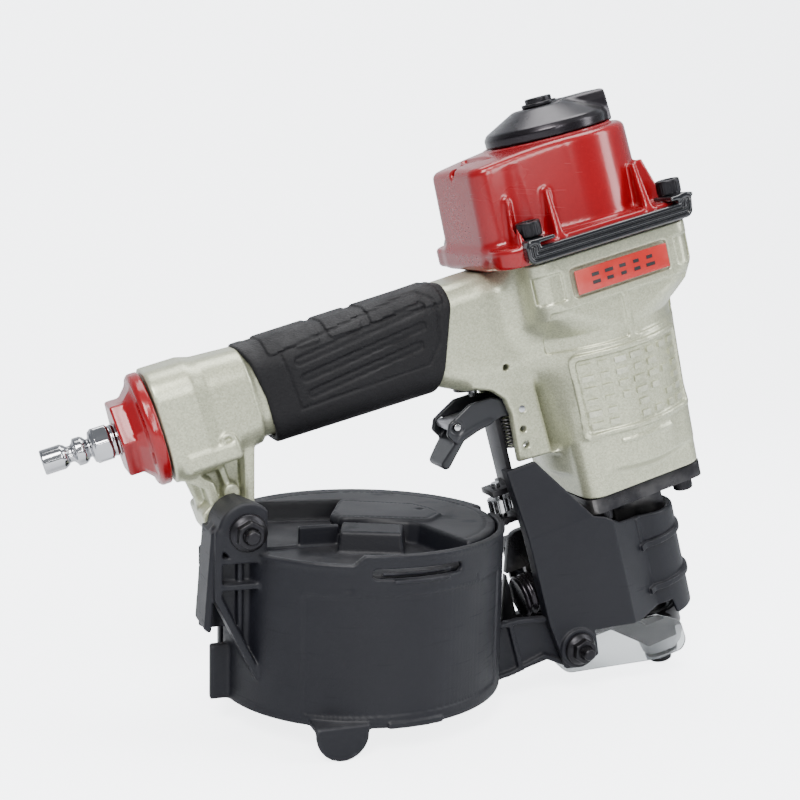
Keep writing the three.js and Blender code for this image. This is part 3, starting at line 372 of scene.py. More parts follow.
def makeClearPlastic():
    material = bpy.data.materials.new("clearPlastic")
    material.use_nodes = True
    tree = material.node_tree
    shader = tree.nodes["Principled BSDF"]
    shader.inputs["Base Color"].default_value = (0.93, 0.955, 0.945, 1)
    shader.inputs["Transmission Weight"].default_value = 1.0
    shader.inputs["IOR"].default_value = 1.46
    scuff = useGroup(tree, "scuff", [("Amount", 0.5), ("Stretch", (2, 2, 9))])
    rough = doMath(tree, "ADD", doMath(tree, "MULTIPLY", scuff.outputs["Mask"], 0.35), 0.04)
    tree.links.new(rough, shader.inputs["Roughness"])
    grain = useGroup(tree, "grain", [("Scale", 90.0)])
    bump = addNode(tree, "ShaderNodeBump",
                   [("Height", grain.outputs["Height"]), ("Strength", 0.05), ("Distance", 0.0005)])
    tree.links.new(bump.outputs[0], shader.inputs["Normal"])
    return material


materials = {name: makeFinish(name, values) for name, values in finishes.items()}
materials["clearPlastic"] = makeClearPlastic()
makeSweep(materials["sweepPaper"])
print("finishes ready:", len(materials))


# distance fields: every value is the distance to a surface, negative inside

def axisGrid(low, high, step):
    return [np.arange(a, b + step, step, dtype=np.float32).reshape([-1 if i == k else 1 for i in range(3)])
            for k, (a, b) in enumerate(zip(low, high))]


def slab(x, low, high):
    return np.maximum(low - x, x - high)


def both(a, b, r=0.0):
    if r == 0:
        return np.maximum(a, b)
    a, b = a + r, b + r
    return np.hypot(np.maximum(a, 0), np.maximum(b, 0)) + np.minimum(np.maximum(a, b), 0) - r


def join(a, b, k=0.0):
    if k == 0:
        return np.minimum(a, b)
    h = np.maximum(k - np.abs(a - b), 0) / k
    return np.minimum(a, b) - h * h * k / 4


def carve(a, b, k=0.0):
    return -join(-a, b, k)


def roundedRect(p, q, halfP, halfQ, r):
    a, b = np.abs(p) - (halfP - r), np.abs(q) - (halfQ - r)
    return np.hypot(np.maximum(a, 0), np.maximum(b, 0)) + np.minimum(np.maximum(a, b), 0) - r


def roundedBox(u, v, w, box, r):
    (u0, u1), (v0, v1), (w0, w1) = box
    a = np.abs(u - (u0 + u1) / 2) - ((u1 - u0) / 2 - r)
    b = np.abs(v - (v0 + v1) / 2) - ((v1 - v0) / 2 - r)
    c = np.abs(w - (w0 + w1) / 2) - ((w1 - w0) / 2 - r)
    out = np.sqrt(np.maximum(a, 0) ** 2 + np.maximum(b, 0) ** 2 + np.maximum(c, 0) ** 2)
    return out + np.minimum(np.maximum(np.maximum(a, b), c), 0) - r


def polygon(p, q, corners):
    best, sign = np.float32(1e9), np.float32(1.0)
    count = len(corners)
    for i in range(count):
        (ax, ay), (bx, by) = corners[i], corners[(i + 1) % count]
        ex, ey = bx - ax, by - ay
        wx, wy = p - ax, q - ay
        t = np.clip((wx * ex + wy * ey) / (ex * ex + ey * ey), 0, 1)
        best = np.minimum(best, (wx - ex * t) ** 2 + (wy - ey * t) ** 2)
        c1, c2, c3 = wy >= 0, q < by, ex * wy > ey * wx
        flip = (c1 & c2 & c3) | (~c1 & ~c2 & ~c3)
        sign = np.where(flip, -sign, sign)
    return np.sqrt(best) * sign


def softPolygon(p, q, corners, r):  # corners rounded outwards by r, same overall size
    inner = insetCorners(corners, r)
    return polygon(p, q, inner) - r


def insetCorners(corners, r):
    area = sum(a[0] * b[1] - b[0] * a[1] for a, b in zip(corners, corners[1:] + corners[:1]))
    side = 1 if area > 0 else -1
    result = []
    for i, (x, y) in enumerate(corners):
        before, after = corners[i - 1], corners[(i + 1) % len(corners)]
        n1 = Vector((-(y - before[1]), x - before[0])).normalized() * side
        n2 = Vector((-(after[1] - y), after[0] - x)).normalized() * side
        scale = r / max(1 + n1.dot(n2), 0.25)
        result.append((x + (n1.x + n2.x) * scale, y + (n1.y + n2.y) * scale))
    return result


def path(p, q, points):
    best = np.float32(1e9)
    for (ax, ay), (bx, by) in zip(points, points[1:]):
        ex, ey = bx - ax, by - ay
        t = np.clip(((p - ax) * ex + (q - ay) * ey) / (ex * ex + ey * ey), 0, 1)
        best = np.minimum(best, (p - ax - ex * t) ** 2 + (q - ay - ey * t) ** 2)
    return np.sqrt(best)


def only(where):  # added to a mask, keeps it to the places where the condition holds
    return np.where(where, np.float32(0), np.float32(9))


def inset(body, mask, depth):
    return np.maximum(body, np.minimum(-mask, body + depth))


def raised(body, mask, height):
    return np.minimum(body, np.maximum(mask, body - height))


def along(x, stations, values):
    return np.interp(x, stations, values).astype(np.float32)


def hexagon(p, q, flat, turn=0.0):
    turns = [turn + k * math.pi / 3 for k in range(3)]
    sides = [np.abs(p * math.cos(a) + q * math.sin(a)) for a in turns]
    return np.maximum(np.maximum(sides[0], sides[1]), sides[2]) - flat


def sampleField(field, at):
    top = np.array(field.shape) - 2
    cell = np.clip(np.floor(at).astype(int), 0, top)
    f = at - cell
    total = np.zeros(len(at))
    for corner in range(8):
        bits = [(corner >> k) & 1 for k in range(3)]
        weight = np.prod([f[:, k] if bits[k] else 1 - f[:, k] for k in range(3)], axis=0)
        total += weight * field[cell[:, 0] + bits[0], cell[:, 1] + bits[1], cell[:, 2] + bits[2]]
    return total


def skinField(field, low, step, adaptivity=0.0):
    band = np.float32(3.0 * step)
    grid = openvdb.FloatGrid(float(band))
    grid.copyFromArray(np.ascontiguousarray(np.clip(field, -band, band), dtype=np.float32))
    points, triangles, quads = grid.convertToPolygons(isovalue=0.0, adaptivity=adaptivity)
    points = points.astype(float)
    for _ in range(3):  # settle the points on the true surface
        slope = np.stack([sampleField(field, points + d) - sampleField(field, points - d)
                          for d in 0.35 * np.eye(3)], 1) / 0.7
        size = np.maximum((slope ** 2).sum(1), 1e-6)
        move = np.clip(sampleField(field, points) / size, -0.6 * step, 0.6 * step)
        points = points - slope * move[:, None]
    return points * step + np.array(low, float), triangles, quads


def meshPiece(name, points, triangles, quads, material):
    faces = np.concatenate([triangles.reshape(-1), quads.reshape(-1)]).astype(np.int32)
    sizes = np.array([3] * len(triangles) + [4] * len(quads), np.int32)
    mesh = bpy.data.meshes.new(name)
    mesh.vertices.add(len(points))
    mesh.vertices.foreach_set("co", points.astype(np.float32).reshape(-1))
    mesh.loops.add(len(faces))
    mesh.loops.foreach_set("vertex_index", faces)
    mesh.polygons.add(len(sizes))
    mesh.polygons.foreach_set("loop_start", np.concatenate([[0], np.cumsum(sizes)[:-1]]).astype(np.int32))
    mesh.polygons.foreach_set("loop_total", sizes)
    mesh.update(calc_edges=True)
    mesh.validate()
    bm = bmesh.new()
    bm.from_mesh(mesh)
    if bm.calc_volume(signed=True) < 0:
        bmesh.ops.reverse_faces(bm, faces=bm.faces)
    bm.to_mesh(mesh)
    bm.free()
    mesh.shade_smooth()
    mesh.materials.append(material)
    obj = bpy.data.objects.new(name, mesh)
    bpy.context.collection.objects.link(obj)
    return obj


def settle(obj, body, nodes):
    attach(obj, body)
    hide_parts(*nodes)
    triangles = sum(len(p.vertices) - 2 for p in obj.data.polygons)
    print(f"{obj.name}: {triangles} triangles")
    return obj


def castPiece(name, shape, low, high, step, toRow, material, body, nodes, adaptivity=0.0):
    axes = axisGrid(low, high, step)
    field = np.broadcast_to(shape(*axes), [a.size for a in axes]).astype(np.float32)
    points, triangles, quads = skinField(field, low, step, adaptivity)
    obj = meshPiece(name, toRow(points), triangles, quads, materials[material])
    return settle(obj, body, nodes)


# cast housing: square collar over a round barrel, neck, handle, trigger fork and rear yoke

housing = {
    "barrelAt": [103, 110, 140, 160, 171, 181, 189, 206],
    "barrelHalf": [25, 35.0, 36.2, 37.0, 37.5, 38, 38, 38],
    "barrelCorner": [25, 35.0, 36.2, 37.0, 37.0, 17, 7.5, 7.5],
    "blockAt": [99, 125, 150], "blockHalf": [29.2, 29.6, 24],
    "handleAt": [-195, -179, -174, -157, -155, -80],
    "handleHalf": [19, 19, 17.7, 16.7, 15.2, 15.2],
    "handleLow": [161, 161, 162.8, 165, 166.5, 166.5],
    "handleHigh": [206.9, 206.9, 205.6, 204.8, 203.5, 203.5],
    "neckAt": [-82, -68, -54, -30], "neckHalf": [15.0, 16.6, 17.8, 18.5],
    "neckLow": [165.5, 158.5, 157, 156], "neckHigh": [203.0, 205.2, 205.4, 205.4],
    "panelDepth": 1.15, "frameHeight": 1.3,
    "forkHoles": [(-46.3, 144.5), (-47.9, 135.9), (-48.2, 128.8), (-50.3, 164.8)],
}


def housingShape(u, v, w):
    h = housing
    half, corner = along(w, h["barrelAt"], h["barrelHalf"]), along(w, h["barrelAt"], h["barrelCorner"])
    barrel = both(roundedRect(u, v, half, half, corner), slab(w, 104, 205.7), 0.5)
    lower = both(roundedRect(u + 2, v, along(w, h["blockAt"], h["blockHalf"]),
                             along(w, h["blockAt"], h["blockHalf"]), 8.5), slab(w, 99, 150), 0.8)
    body = join(barrel, lower, 3.0)
    low, high = along(u, h["handleAt"], h["handleLow"]), along(u, h["handleAt"], h["handleHigh"])
    handle = both(roundedRect(v, w - (low + high) / 2, along(u, h["handleAt"], h["handleHalf"]),
                              (high - low) / 2, 12.5), slab(u, -195, -78), 0.8)
    low, high = along(u, h["neckAt"], h["neckLow"]), along(u, h["neckAt"], h["neckHigh"])
    neck = both(roundedRect(v, w - (low + high) / 2, along(u, h["neckAt"], h["neckHalf"]),
                            (high - low) / 2, 10), slab(u, -84, -20))
    arm = join(neck, handle, 1.0)
    fork = both(polygon(u, w, [(-28, 121), (-52.8, 122.6), (-51.2, 143), (-52.6, 151), (-57.5, 156.5),
                               (-66, 160.3), (-66, 172), (-38.8, 172), (-37.2, 121)]) - 0.4,
                slab(v, -15, 15), 1.6)
    body = join(body, arm, 11.0)
    body = join(body, fork, 3.2)
    web = both(softPolygon(u, w, [(-191.5, 166), (-163, 170), (-168.5, 143), (-169.8, 133.8),
                                  (-184.5, 133.8), (-189.5, 141), (-189, 150)], 1.5), slab(v, -3, 3))
    front = both(softPolygon(u, w, [(-165, 172), (-159.8, 172), (-168.2, 143), (-169.5, 134.5), (-173, 135),
                                    (-171.2, 146)], 0.8), slab(v, -13.5, 13.5), 1.0)
    rear = both(path(u, w, [(-190.2, 163), (-183.2, 156.5), (-183.0, 148), (-187.6, 145.5), (-187.2, 138),
                            (-183, 134.6)]) - 2.0, slab(v, -13.5, 13.5), 1.0)
    spine = both(path(u, w, [(-176.5, 166), (-174.6, 140)]) - 1.3, slab(v, -9.5, 9.5), 0.8)
    knob = both(np.hypot(u + 174.9, w - 150.6) - 3.4, slab(v, -10.6, 10.6), 0.8)
    boss = both(np.hypot(u + 177.5, w - 140.2) - 8.6, slab(v, -13.5, 13.5), 1.0)
    yoke = join(join(join(web, front, 1.2), rear, 1.2), join(spine, join(knob, boss, 0.6), 1.0), 1.2)
    body = join(body, yoke, 2.2)
    lug = roundedBox(u, v, w, ((-190.6, -167.6), (-19.6, 4), (164.4, 172.6)), 2.2)
    body = join(body, lug, 1.2)
    loop = both(np.abs(np.hypot(u + 171.8, w - 172.6) - 2.6) - 0.8, slab(v, -18.9, -10), 0.5)
    body = join(body, loop, 0.8)
    # panel rows on the operator's side: frames left standing between shallow fields
    fields = [((-37.0, -25.6), (188.2, 200.4)), ((-21.8, 24.4), (187.6, 200.2)),
              ((28.4, 37.0), (188.2, 200.4)), ((-33.0, -0.4), (165.4, 184.2)),
              ((2.2, 33.0), (165.4, 184.2))]
    flatSide = only(np.abs(v) > 14)
    for (u0, u1), (w0, w1) in fields:
        mask = roundedRect(u - (u0 + u1) / 2, w - (w0 + w1) / 2, (u1 - u0) / 2, (w1 - w0) / 2, 1.6) + flatSide
        body = inset(body, mask, h["panelDepth"])
    # raised frame of the notice panel, wrapped on the barrel
    arc = np.arctan2(u, np.abs(v) + 1e-6) * 36.6
    frameMask = roundedRect(arc - 0.3, w - 144.4, 28.2, 18.6, 3.2) + flatSide
    fieldMask = roundedRect(arc - 0.3, w - 144.4, 25.6, 16.3, 1.6) + flatSide
    body = raised(body, frameMask, h["frameHeight"] + np.maximum(-arc - 16, 0) * 0.16)
    body = inset(body, fieldMask, h["frameHeight"] - 0.1)
    slotMask = roundedRect(arc, w - 121.6, 13.6, 0.9, 0.9) + flatSide
    body = raised(body, slotMask, 0.8)
    # bore, trigger slot, valve seat and pin holes
    body = carve(body, both(np.hypot(u, v) - 28.0, slab(w, 104, 210)), 0)
    body = carve(body, both(np.hypot(u, v) - 6.0, slab(w, 95, 106)), 0)
    body = carve(body, both(roundedRect(u + 49.75, v, 10.25, 10.6, 3.0), slab(w, 110, 156.6), 2.0), 0.6)
    body = carve(body, both(np.hypot(u + 61, v) - 8.3, slab(w, 150, 179)), 0)
    for hu, hw in h["forkHoles"]:
        body = carve(body, np.hypot(u - hu, w - hw) - 1.45, 0.3)
    body = carve(body, np.hypot(u + 177.5, w - 140.2) - 4.3, 0.3)
    for su, sv in ((-22.8, -20.3), (18.8, -20.3), (-22.8, 20.3), (18.8, 20.3)):
        body = carve(body, both(np.hypot(u - su, v - sv) - 2.7, slab(w, 96, 113)), 0)
    return body


castPiece("castHousing", housingShape, (-198, -42, 96), (41, 42, 209), 0.72, driveToRow, "castPaint",
          "tool", ["main_housing"])


# red cap over the head valve

cap = {"radius": 34.8, "taper": 1.8 / 43.3, "rearCentre": (-40.5, 18.0), "rearCorner": 9.0, "top": 252.0,
       "ribs": [(-39.0, -37.0, 1), (-22.6, -20.8, 1), (19.8, 20.6, 1)], "screws": 33.4}


def capShape(u, v, w):
    c = cap
    flange = both(roundedRect(u + 6, v, 44, 39, 10.5), slab(w, 206.7, 215), 1.6)
    radius, (cu, cv), corner = c["radius"], c["rearCentre"], c["rearCorner"]
    reach = math.hypot(cu, cv)
    angle = math.atan2(-cv, cu) + math.acos((radius - corner) / reach)
    nu, nv = math.cos(angle), math.sin(angle)
    side = np.maximum(nu * u + nv * v, nu * u - nv * v) - radius
    wedge = np.maximum(np.maximum(side, u - nu * radius), -(u - cu) - corner)
    plan = join(np.hypot(u, v) - radius, wedge)
    rearCut = roundedRect(u - 0.0, v, -(cu) + corner, 60, 0.1)
    cornerCut = np.hypot(np.maximum(-(u - cu), 0), np.maximum(np.abs(v) - cv, 0)) - corner
    plan = np.where((u < cu) & (np.abs(v) > cv), np.maximum(plan, cornerCut), np.maximum(plan, rearCut))
    wall = plan + (w - 206.7) * c["taper"]
    crown = c["top"] - np.maximum(np.hypot(u, v) - 27, 0) * 0.16
    body = both(wall, np.maximum(206.7 - w, w - crown), 2.6)
    body = join(body, flange, 3.4)
    for sign in (-1, 1):
        for uLow, uHigh, _ in c["ribs"]:
            centre = uLow + (uHigh - uLow) * (w - 214) / 19
            thin = np.abs(u - centre) - (1.9 - (w - 214) * 0.035)
            slope = sign * v - (38.6 - (w - 215) * 0.36)
            rib = both(thin, np.maximum(np.maximum(slope, w - 233.5), 20 - sign * v), 1.0)
            body = join(body, np.maximum(rib, 213 - w), 1.8)
        thin = np.abs(sign * v - 20.4) - (1.9 - (w - 214) * 0.035)
        slope = u - (37.6 - (w - 215) * 0.36)
        rib = both(thin, np.maximum(np.maximum(slope, w - 233.5), 18 - u), 1.0)
        body = join(body, np.maximum(rib, 213 - w), 1.8)
    for sign in (-1, 1):
        for end in (-1, 1):
            out = np.hypot(u - end * c["screws"], v - sign * c["screws"])
            body = carve(body, both(out - 6.0, slab(w, 215, 246), 1.0), 1.2)
            body = carve(body, out - 3.3 + np.maximum(206 - w, 0), 0)
    triangle = softPolygon(u, v, [(-41.5, 0.0), (-33.6, 15.0), (-33.6, -15.0)], 1.2)
    body = inset(body, triangle + only(w > 245), 1.1)
    body = carve(body, both(np.hypot(u, v) - 31.0, slab(w, 200, 232)), 0)
    body = carve(body, both(np.hypot(u, v) - 17.0, slab(w, 230, 256)), 0)
    body = carve(body, np.maximum(roundedRect(u + 32, v, 10, 20, 4), slab(w, 200, 240)), 0)
    body = carve(body, np.maximum(np.hypot(v + 2.0, w - 247.0) - 1.8, u + 30), 0.4)
    body = raised(body, both(np.abs(np.hypot(u, v) - 26.9) - 0.9, slab(w, 245, 260)), 0.5)
    return body


castPiece("redCap", capShape, (-53, -42, 204), (41, 42, 255), 0.75, driveToRow, "redPaint", "tool",
          ["cylinder_cap"])


# rubber grip with pads on top and long grooves in each side

gripShape = {"slots": [((-135.8, 194.0), (-80.5, 200.3)), ((-134.8, 186.9), (-82.2, 192.6)),
                       ((-133.8, 180.0), (-85.4, 185.2))],
             "slotRadius": 2.0, "slotDepth": 0.8,
             "pads": [(-147.0, -124.5), (-121.0, -106.6), (-102.4, -70.5)],
             "outline": [(-142.4, 199.6), (-140.8, 190), (-140.0, 175.4), (-83.0, 176.4), (-76.6, 184),
                         (-73.8, 197), (-74.6, 202), (-79.5, 206.0)]}


def gripForm(u, v, w):
    g = gripShape
    half = along(u, [-160, -90, -66], [17.2, 17.8, 18.4])
    low, high = along(u, [-160, -82, -66], [163.4, 162.2, 160.6]), along(u, [-160, -82, -66],
                                                                         [205.3, 206.0, 206.4])
    ends = polygon(u, w, [(-151.6, 160), (-152.0, 184), (-154.6, 199), (-158.6, 209), (-66.6, 209),
                          (-67.4, 198), (-76.6, 172.5), (-82.0, 160)])
    body = both(roundedRect(v, w - (low + high) / 2, half, (high - low) / 2, 12.5), ends, 1.3)
    for u0, u1 in g["pads"]:
        pad = roundedRect(u - (u0 + u1) / 2, w - 212, (u1 - u0) / 2, 12.6, 2.0)
        body = raised(body, pad, 0.75)
    body = raised(body, roundedRect(u + 158, w - 212, 6.5, 40, 2.0), 0.35)
    sides = only(np.abs(v) > 8)
    rim = np.abs(polygon(u, w, g["outline"])) - 0.55
    body = inset(body, rim + sides, 0.55)
    for a, b in g["slots"]:
        line = path(u, w, [a, b])
        body = inset(body, line - g["slotRadius"] + sides, g["slotDepth"])
        body = raised(body, line - 0.7 + sides, 0.35)
    lowIn, highIn = along(u, [-160, -80, -68, -56], [166, 166, 158, 157]), along(u, [-160, -80, -68],
                                                                                 [204, 204, 205.2])
    core = roundedRect(v, w - (lowIn + highIn) / 2, along(u, [-160, -80, -68], [15.3, 15.3, 16.7]),
                       (highIn - lowIn) / 2, 11.5)
    return carve(body, core, 0)


castPiece("gripSleeve", gripForm, (-162, -22, 157), (-63, 22, 211), 0.62, driveToRow, "gripRubber", "tool",
          ["grip_sleeve"])


# glossy guard bars beside the flange

guard = {"route": [(-37.6, 213.6), (-37.6, 210.4), (33.4, 210.4), (33.9, 214.4)], "half": 3.3,
         "lines": [1.15], "lineWidth": 0.55, "lineDepth": 0.9, "out": 44.0, "in": 37.0}


def guardShape(u, v, w):
    g = guard
    line = path(u, w, g["route"])
    bar = both(line - g["half"], slab(v, -g["out"], -g["in"]), 1.0)
    for at in g["lines"]:
        groove = np.abs(line - at) - g["lineWidth"]
        bar = inset(bar, groove + only(v < -g["out"] + 2.5), g["lineDepth"])
    for u0, u1, high in ((-39.9, -27.4, 216.9), (27.3, 38.0, 217.1)):
        tab = roundedBox(u, v, w, ((u0, u1), (-g["out"], -29.5), (215.2, high)), 0.8)
        bar = join(bar, tab, 0.8)
        hole = np.hypot(u - math.copysign(33.4, u0 + u1), v + 33.4) - 3.2
        bar = carve(bar, hole, 0)
    flange = both(roundedRect(u + 6, v, 44.3, 39.3, 11), slab(w, 200, 215.25))
    dome = np.hypot(u, v) - 35.2
    return carve(carve(bar, flange, 0), np.maximum(dome, w - 240), 0)


castPiece("guardRight", guardShape, (-43, -46, 205), (41, -27, 219), 0.42, driveToRow, "glossBlack", "tool",
          ["side_guard_right"])
castPiece("guardLeft", lambda u, v, w: guardShape(u, -v, w), (-43, 27, 205), (41, 46, 219), 0.42,
          driveToRow, "glossBlack", "tool", ["side_guard_left"])


# exhaust deflector: a turned dish with a square hood that turns about the driver axis

exhaust = {"rimAt": [252.4, 253.0, 256.2, 258.2, 264.8, 265.2],
           "rimRadius": [25.4, 26.2, 26.3, 25.0, 12.4, 11.8], "hoodAt": [252.4, 262, 266],
           "hoodHalf": [12.6, 10.0, 7.6], "bottom": 252.4, "reach": 27.6,
           "mouth": ((13, 40), (-6.4, 6.4), (255.0, 263.2)), "screwHole": 5.5, "groove": 10.4}


def exhaustShape(u, v, w):
    e = exhaust
    radius = np.hypot(u, v)
    dish = both((radius - along(w, e["rimAt"], e["rimRadius"])) * 0.6, slab(w, e["bottom"], 265.1), 0.5)
    side = np.abs(v) - along(w, e["hoodAt"], e["hoodHalf"])
    hood = both(np.maximum(side, slab(u, 2.0, e["reach"])), w - 266.0, 1.4)
    hood = np.maximum(hood, np.maximum(e["bottom"] - w, radius - e["reach"] - 1.0))
    body = join(dish, hood, 2.4)
    body = carve(body, roundedBox(u, v, w, e["mouth"], 1.0), 0.5)
    chamber = np.maximum(radius - along(w, [250, 256, 261.5], [22, 22, 13]), slab(w, 250, 262))
    body = carve(body, chamber, 0)
    body = carve(body, radius - e["screwHole"], 0)
    return inset(body, np.abs(radius - e["groove"]) - 0.35 + only(w > 264), 0.35)


castPiece("exhaustDeflector", exhaustShape, (-29, -29, 250), (31, 29, 268), 0.5, driveToRow, "blackAlloy",
          "exhaust", ["exhaust_cover"])


# red end cap with hexagon boss, and the air plug

endCap = {"mid": 183.7, "rim": 23.1, "hex": 14.2, "bore": 6.7}


def endCapShape(u, v, w):
    q = w - endCap["mid"]
    radius = np.hypot(v, q)
    disc = both(radius - along(u, [-201.4, -199.6, -195.8],
                               [endCap["rim"] - 1.5, endCap["rim"], endCap["rim"]]),
                slab(u, -201.2, -195.8), 0.9)
    cone = (radius - along(u, [-211, -206, -200.6], [12.6, 15.0, 20.5])) * 0.8
    hexa = both(hexagon(v, q, endCap["hex"], math.pi / 6), slab(u, -211.0, -198), 1.0)
    facet = hexagon(v, q, 0, math.pi / 6) - along(u, [-205.6, -200.6], [14.2, 19.4])
    boss = np.maximum(np.maximum(cone, facet), slab(u, -206.6, -199))
    body = join(join(disc, boss, 1.4), hexa, 1.0)
    body = inset(body, np.abs(radius - 21.0) - 0.4 + only(u < -199), 0.3)
    return carve(body, radius - endCap["bore"], 0.5)


castPiece("endCap", endCapShape, (-213, -25, 158), (-194, 25, 209), 0.55, driveToRow, "redPaint", "tool",
          ["end_cap"])


def airPlugShape(u, v, w):
    q = w - endCap["mid"]
    radius = np.hypot(v, q)
    outline = along(u, [-240.8, -240.2, -232.6, -231.2, -230.4, -229.0, -228.2, -227.4, -224.6, -223.6,
                        -222.6, -221.8, -221.2, -219.4, -219.3, -214.0, -213.6, -212.4, -211.2, -198],
                    [4.5, 5.0, 5.0, 4.2, 3.3, 3.3, 4.0, 5.6, 5.6, 5.0, 3.7, 3.7, 6.1, 7.2, 6.9, 6.9, 6.2,
                     6.6, 6.0, 6.4])
    turned = (radius - outline) * 0.75
    hexa = both(hexagon(v, q, 6.9, 0.3), radius - 7.7, 0.3)
    nut = np.maximum(hexa, slab(u, -220.2, -214.0) + np.maximum(radius - 6.9, 0) * 0.6)
    body = join(np.maximum(turned, slab(u, -240.6, -198)), nut, 0.3)
    thread = 0.28 * np.abs(((u / 1.4) % 1.0) - 0.5) * 2
    body = np.where((u > -213.4) & (u < -209), body + thread * 0.8, body)
    return carve(body, radius - along(u, [-241, -240, -200], [3.9, 3.1, 3.0]), 0.2)


castPiece("airPlug", airPlugShape, (-242, -9, 174), (-197, 9, 193), 0.33, driveToRow, "plugChrome", "tool",
          ["air_plug"])


# trigger: two cheeks round a bent web with a finger tail

triggerShape = {"cheek": [(-41.3, 139.5), (-54, 142.7), (-66.8, 140.6), (-77.6, 138), (-80.4, 142.5),
                          (-78.4, 147), (-67.2, 152.4), (-57, 152.4), (-50, 149.4), (-41.3, 149.9)],
                "tail": [(-60, 142.1), (-66.5, 141.3), (-74, 139.4), (-79.0, 134.6), (-83.4, 130.0)]}


def triggerForm(u, v, w):
    t = triggerShape
    outline = softPolygon(u, w, t["cheek"], 2.0)
    cheeks = both(outline, np.abs(np.abs(v) - 8.7) - 1.1, 0.5)
    thick = along(u, [-84, -76, -60], [2.0, 1.5, 0.9])
    width = along(u, [-86, -80, -76], [7.6, 9.0, 9.8])
    web = both(path(u, w, t["tail"]) - thick, np.abs(v) - width, 0.8)
    body = join(cheeks, web, 1.6)
    rim = only(np.abs(v) > 9.2)
    body = inset(body, np.hypot(u + 75.3, w - 144.9) - 3.2 + rim, 0.35)
    body = carve(body, np.hypot(u + 46.3, w - 144.5) - 2.3, 0.2)
    return carve(body, np.hypot(u + 75.3, w - 144.9) - 1.8, 0.2)


castPiece("trigger", triggerForm, (-88, -11, 125), (-39, 11, 155), 0.42, driveToRow, "triggerBlack",
          "trigger", ["trigger"])


# moulded cover round the nose, with ribs on its rounded front

noseCover = {"near": -29.0, "wall": 2.2, "front": 19.5, "ribs": [46.0, 67.0], "ribHeight": 1.6}


def noseCoverShape(u, v, w):
    n = noseCover
    near, wall, front = n["near"], n["wall"], n["front"]
    lean = np.maximum(w - 93, 0) * 0.235
    plan = polygon(u, v, [(-63, near), (-23, near), (-5, -18.8), (0, 0), (0, 30), (-63, 30)])
    outer = np.maximum(np.minimum(np.hypot(u, v) - front, plan), near + lean - v)
    skin = np.maximum(outer, -(outer + wall))
    openSide = np.where(u < -20, v - (near + 6.5 + lean),
                        np.where(u < 0, v + 14, v * math.cos(0.6) - u * math.sin(0.6)))
    skin = np.maximum(skin, openSide)
    sideView = softPolygon(u, w, [(-64.4, 122.8), (-49.2, 122.8), (-31.2, 92.6), (-26, 90.2), (-18, 84.0),
                                  (-4, 80.5), (24, 77.0), (24, 29.5), (4, 29.5), (2.5, 37), (-18, 37),
                                  (-42.5, 42.6), (-43.6, 31.4), (-52.4, 28.6), (-60.5, 31.0), (-61.8, 45),
                                  (-63.4, 56)], 1.2)
    body = both(skin, sideView, 0.5)
    away = only(outer > -1)
    for at in n["ribs"]:
        mask = np.abs(w - at) - 1.3 + only((u > -8.5) & (v < 14))
        body = raised(body, mask + away, n["ribHeight"])
    step = roundedRect(u - 8, w - 75, 16, 6.2, 1.0) + only(v < 8)
    body = raised(body, step + away, 0.5)
    boss = both(np.hypot(u + 52.4, w - 38.3) - 8.8, slab(v, near - 1.5, near + wall), 0.8)
    body = join(body, boss, 0.8)
    return carve(body, np.hypot(u + 52.4, w - 38.3) - 3.4, 0)


castPiece("noseCover", noseCoverShape, (-67, -33, 26), (24, 14, 125), 0.48, driveToRow, "mouldedBlack",
          "tool", ["nose_cover"])


# coil magazine: lower half with bracket, feet and nose arm

drum = {"x": -154.0, "y": -5.0, "radius": 60.0, "wall": 2.5, "floor": 11.2, "rim": 79.0, "lowRim": 75.4,
        "hinge": (-219.0, -8.0), "bolt": (-210.0, 84.0), "footX": -179.5, "footRadius": 10.4}


def driveOf(x, z):
    return x * cosLean + z * sinLean, -x * sinLean + z * cosLean


def drumPlaces(x, y):
    dx, dy = x - drum["x"], y - drum["y"]
    return np.hypot(dx, dy), np.arctan2(dy, dx)


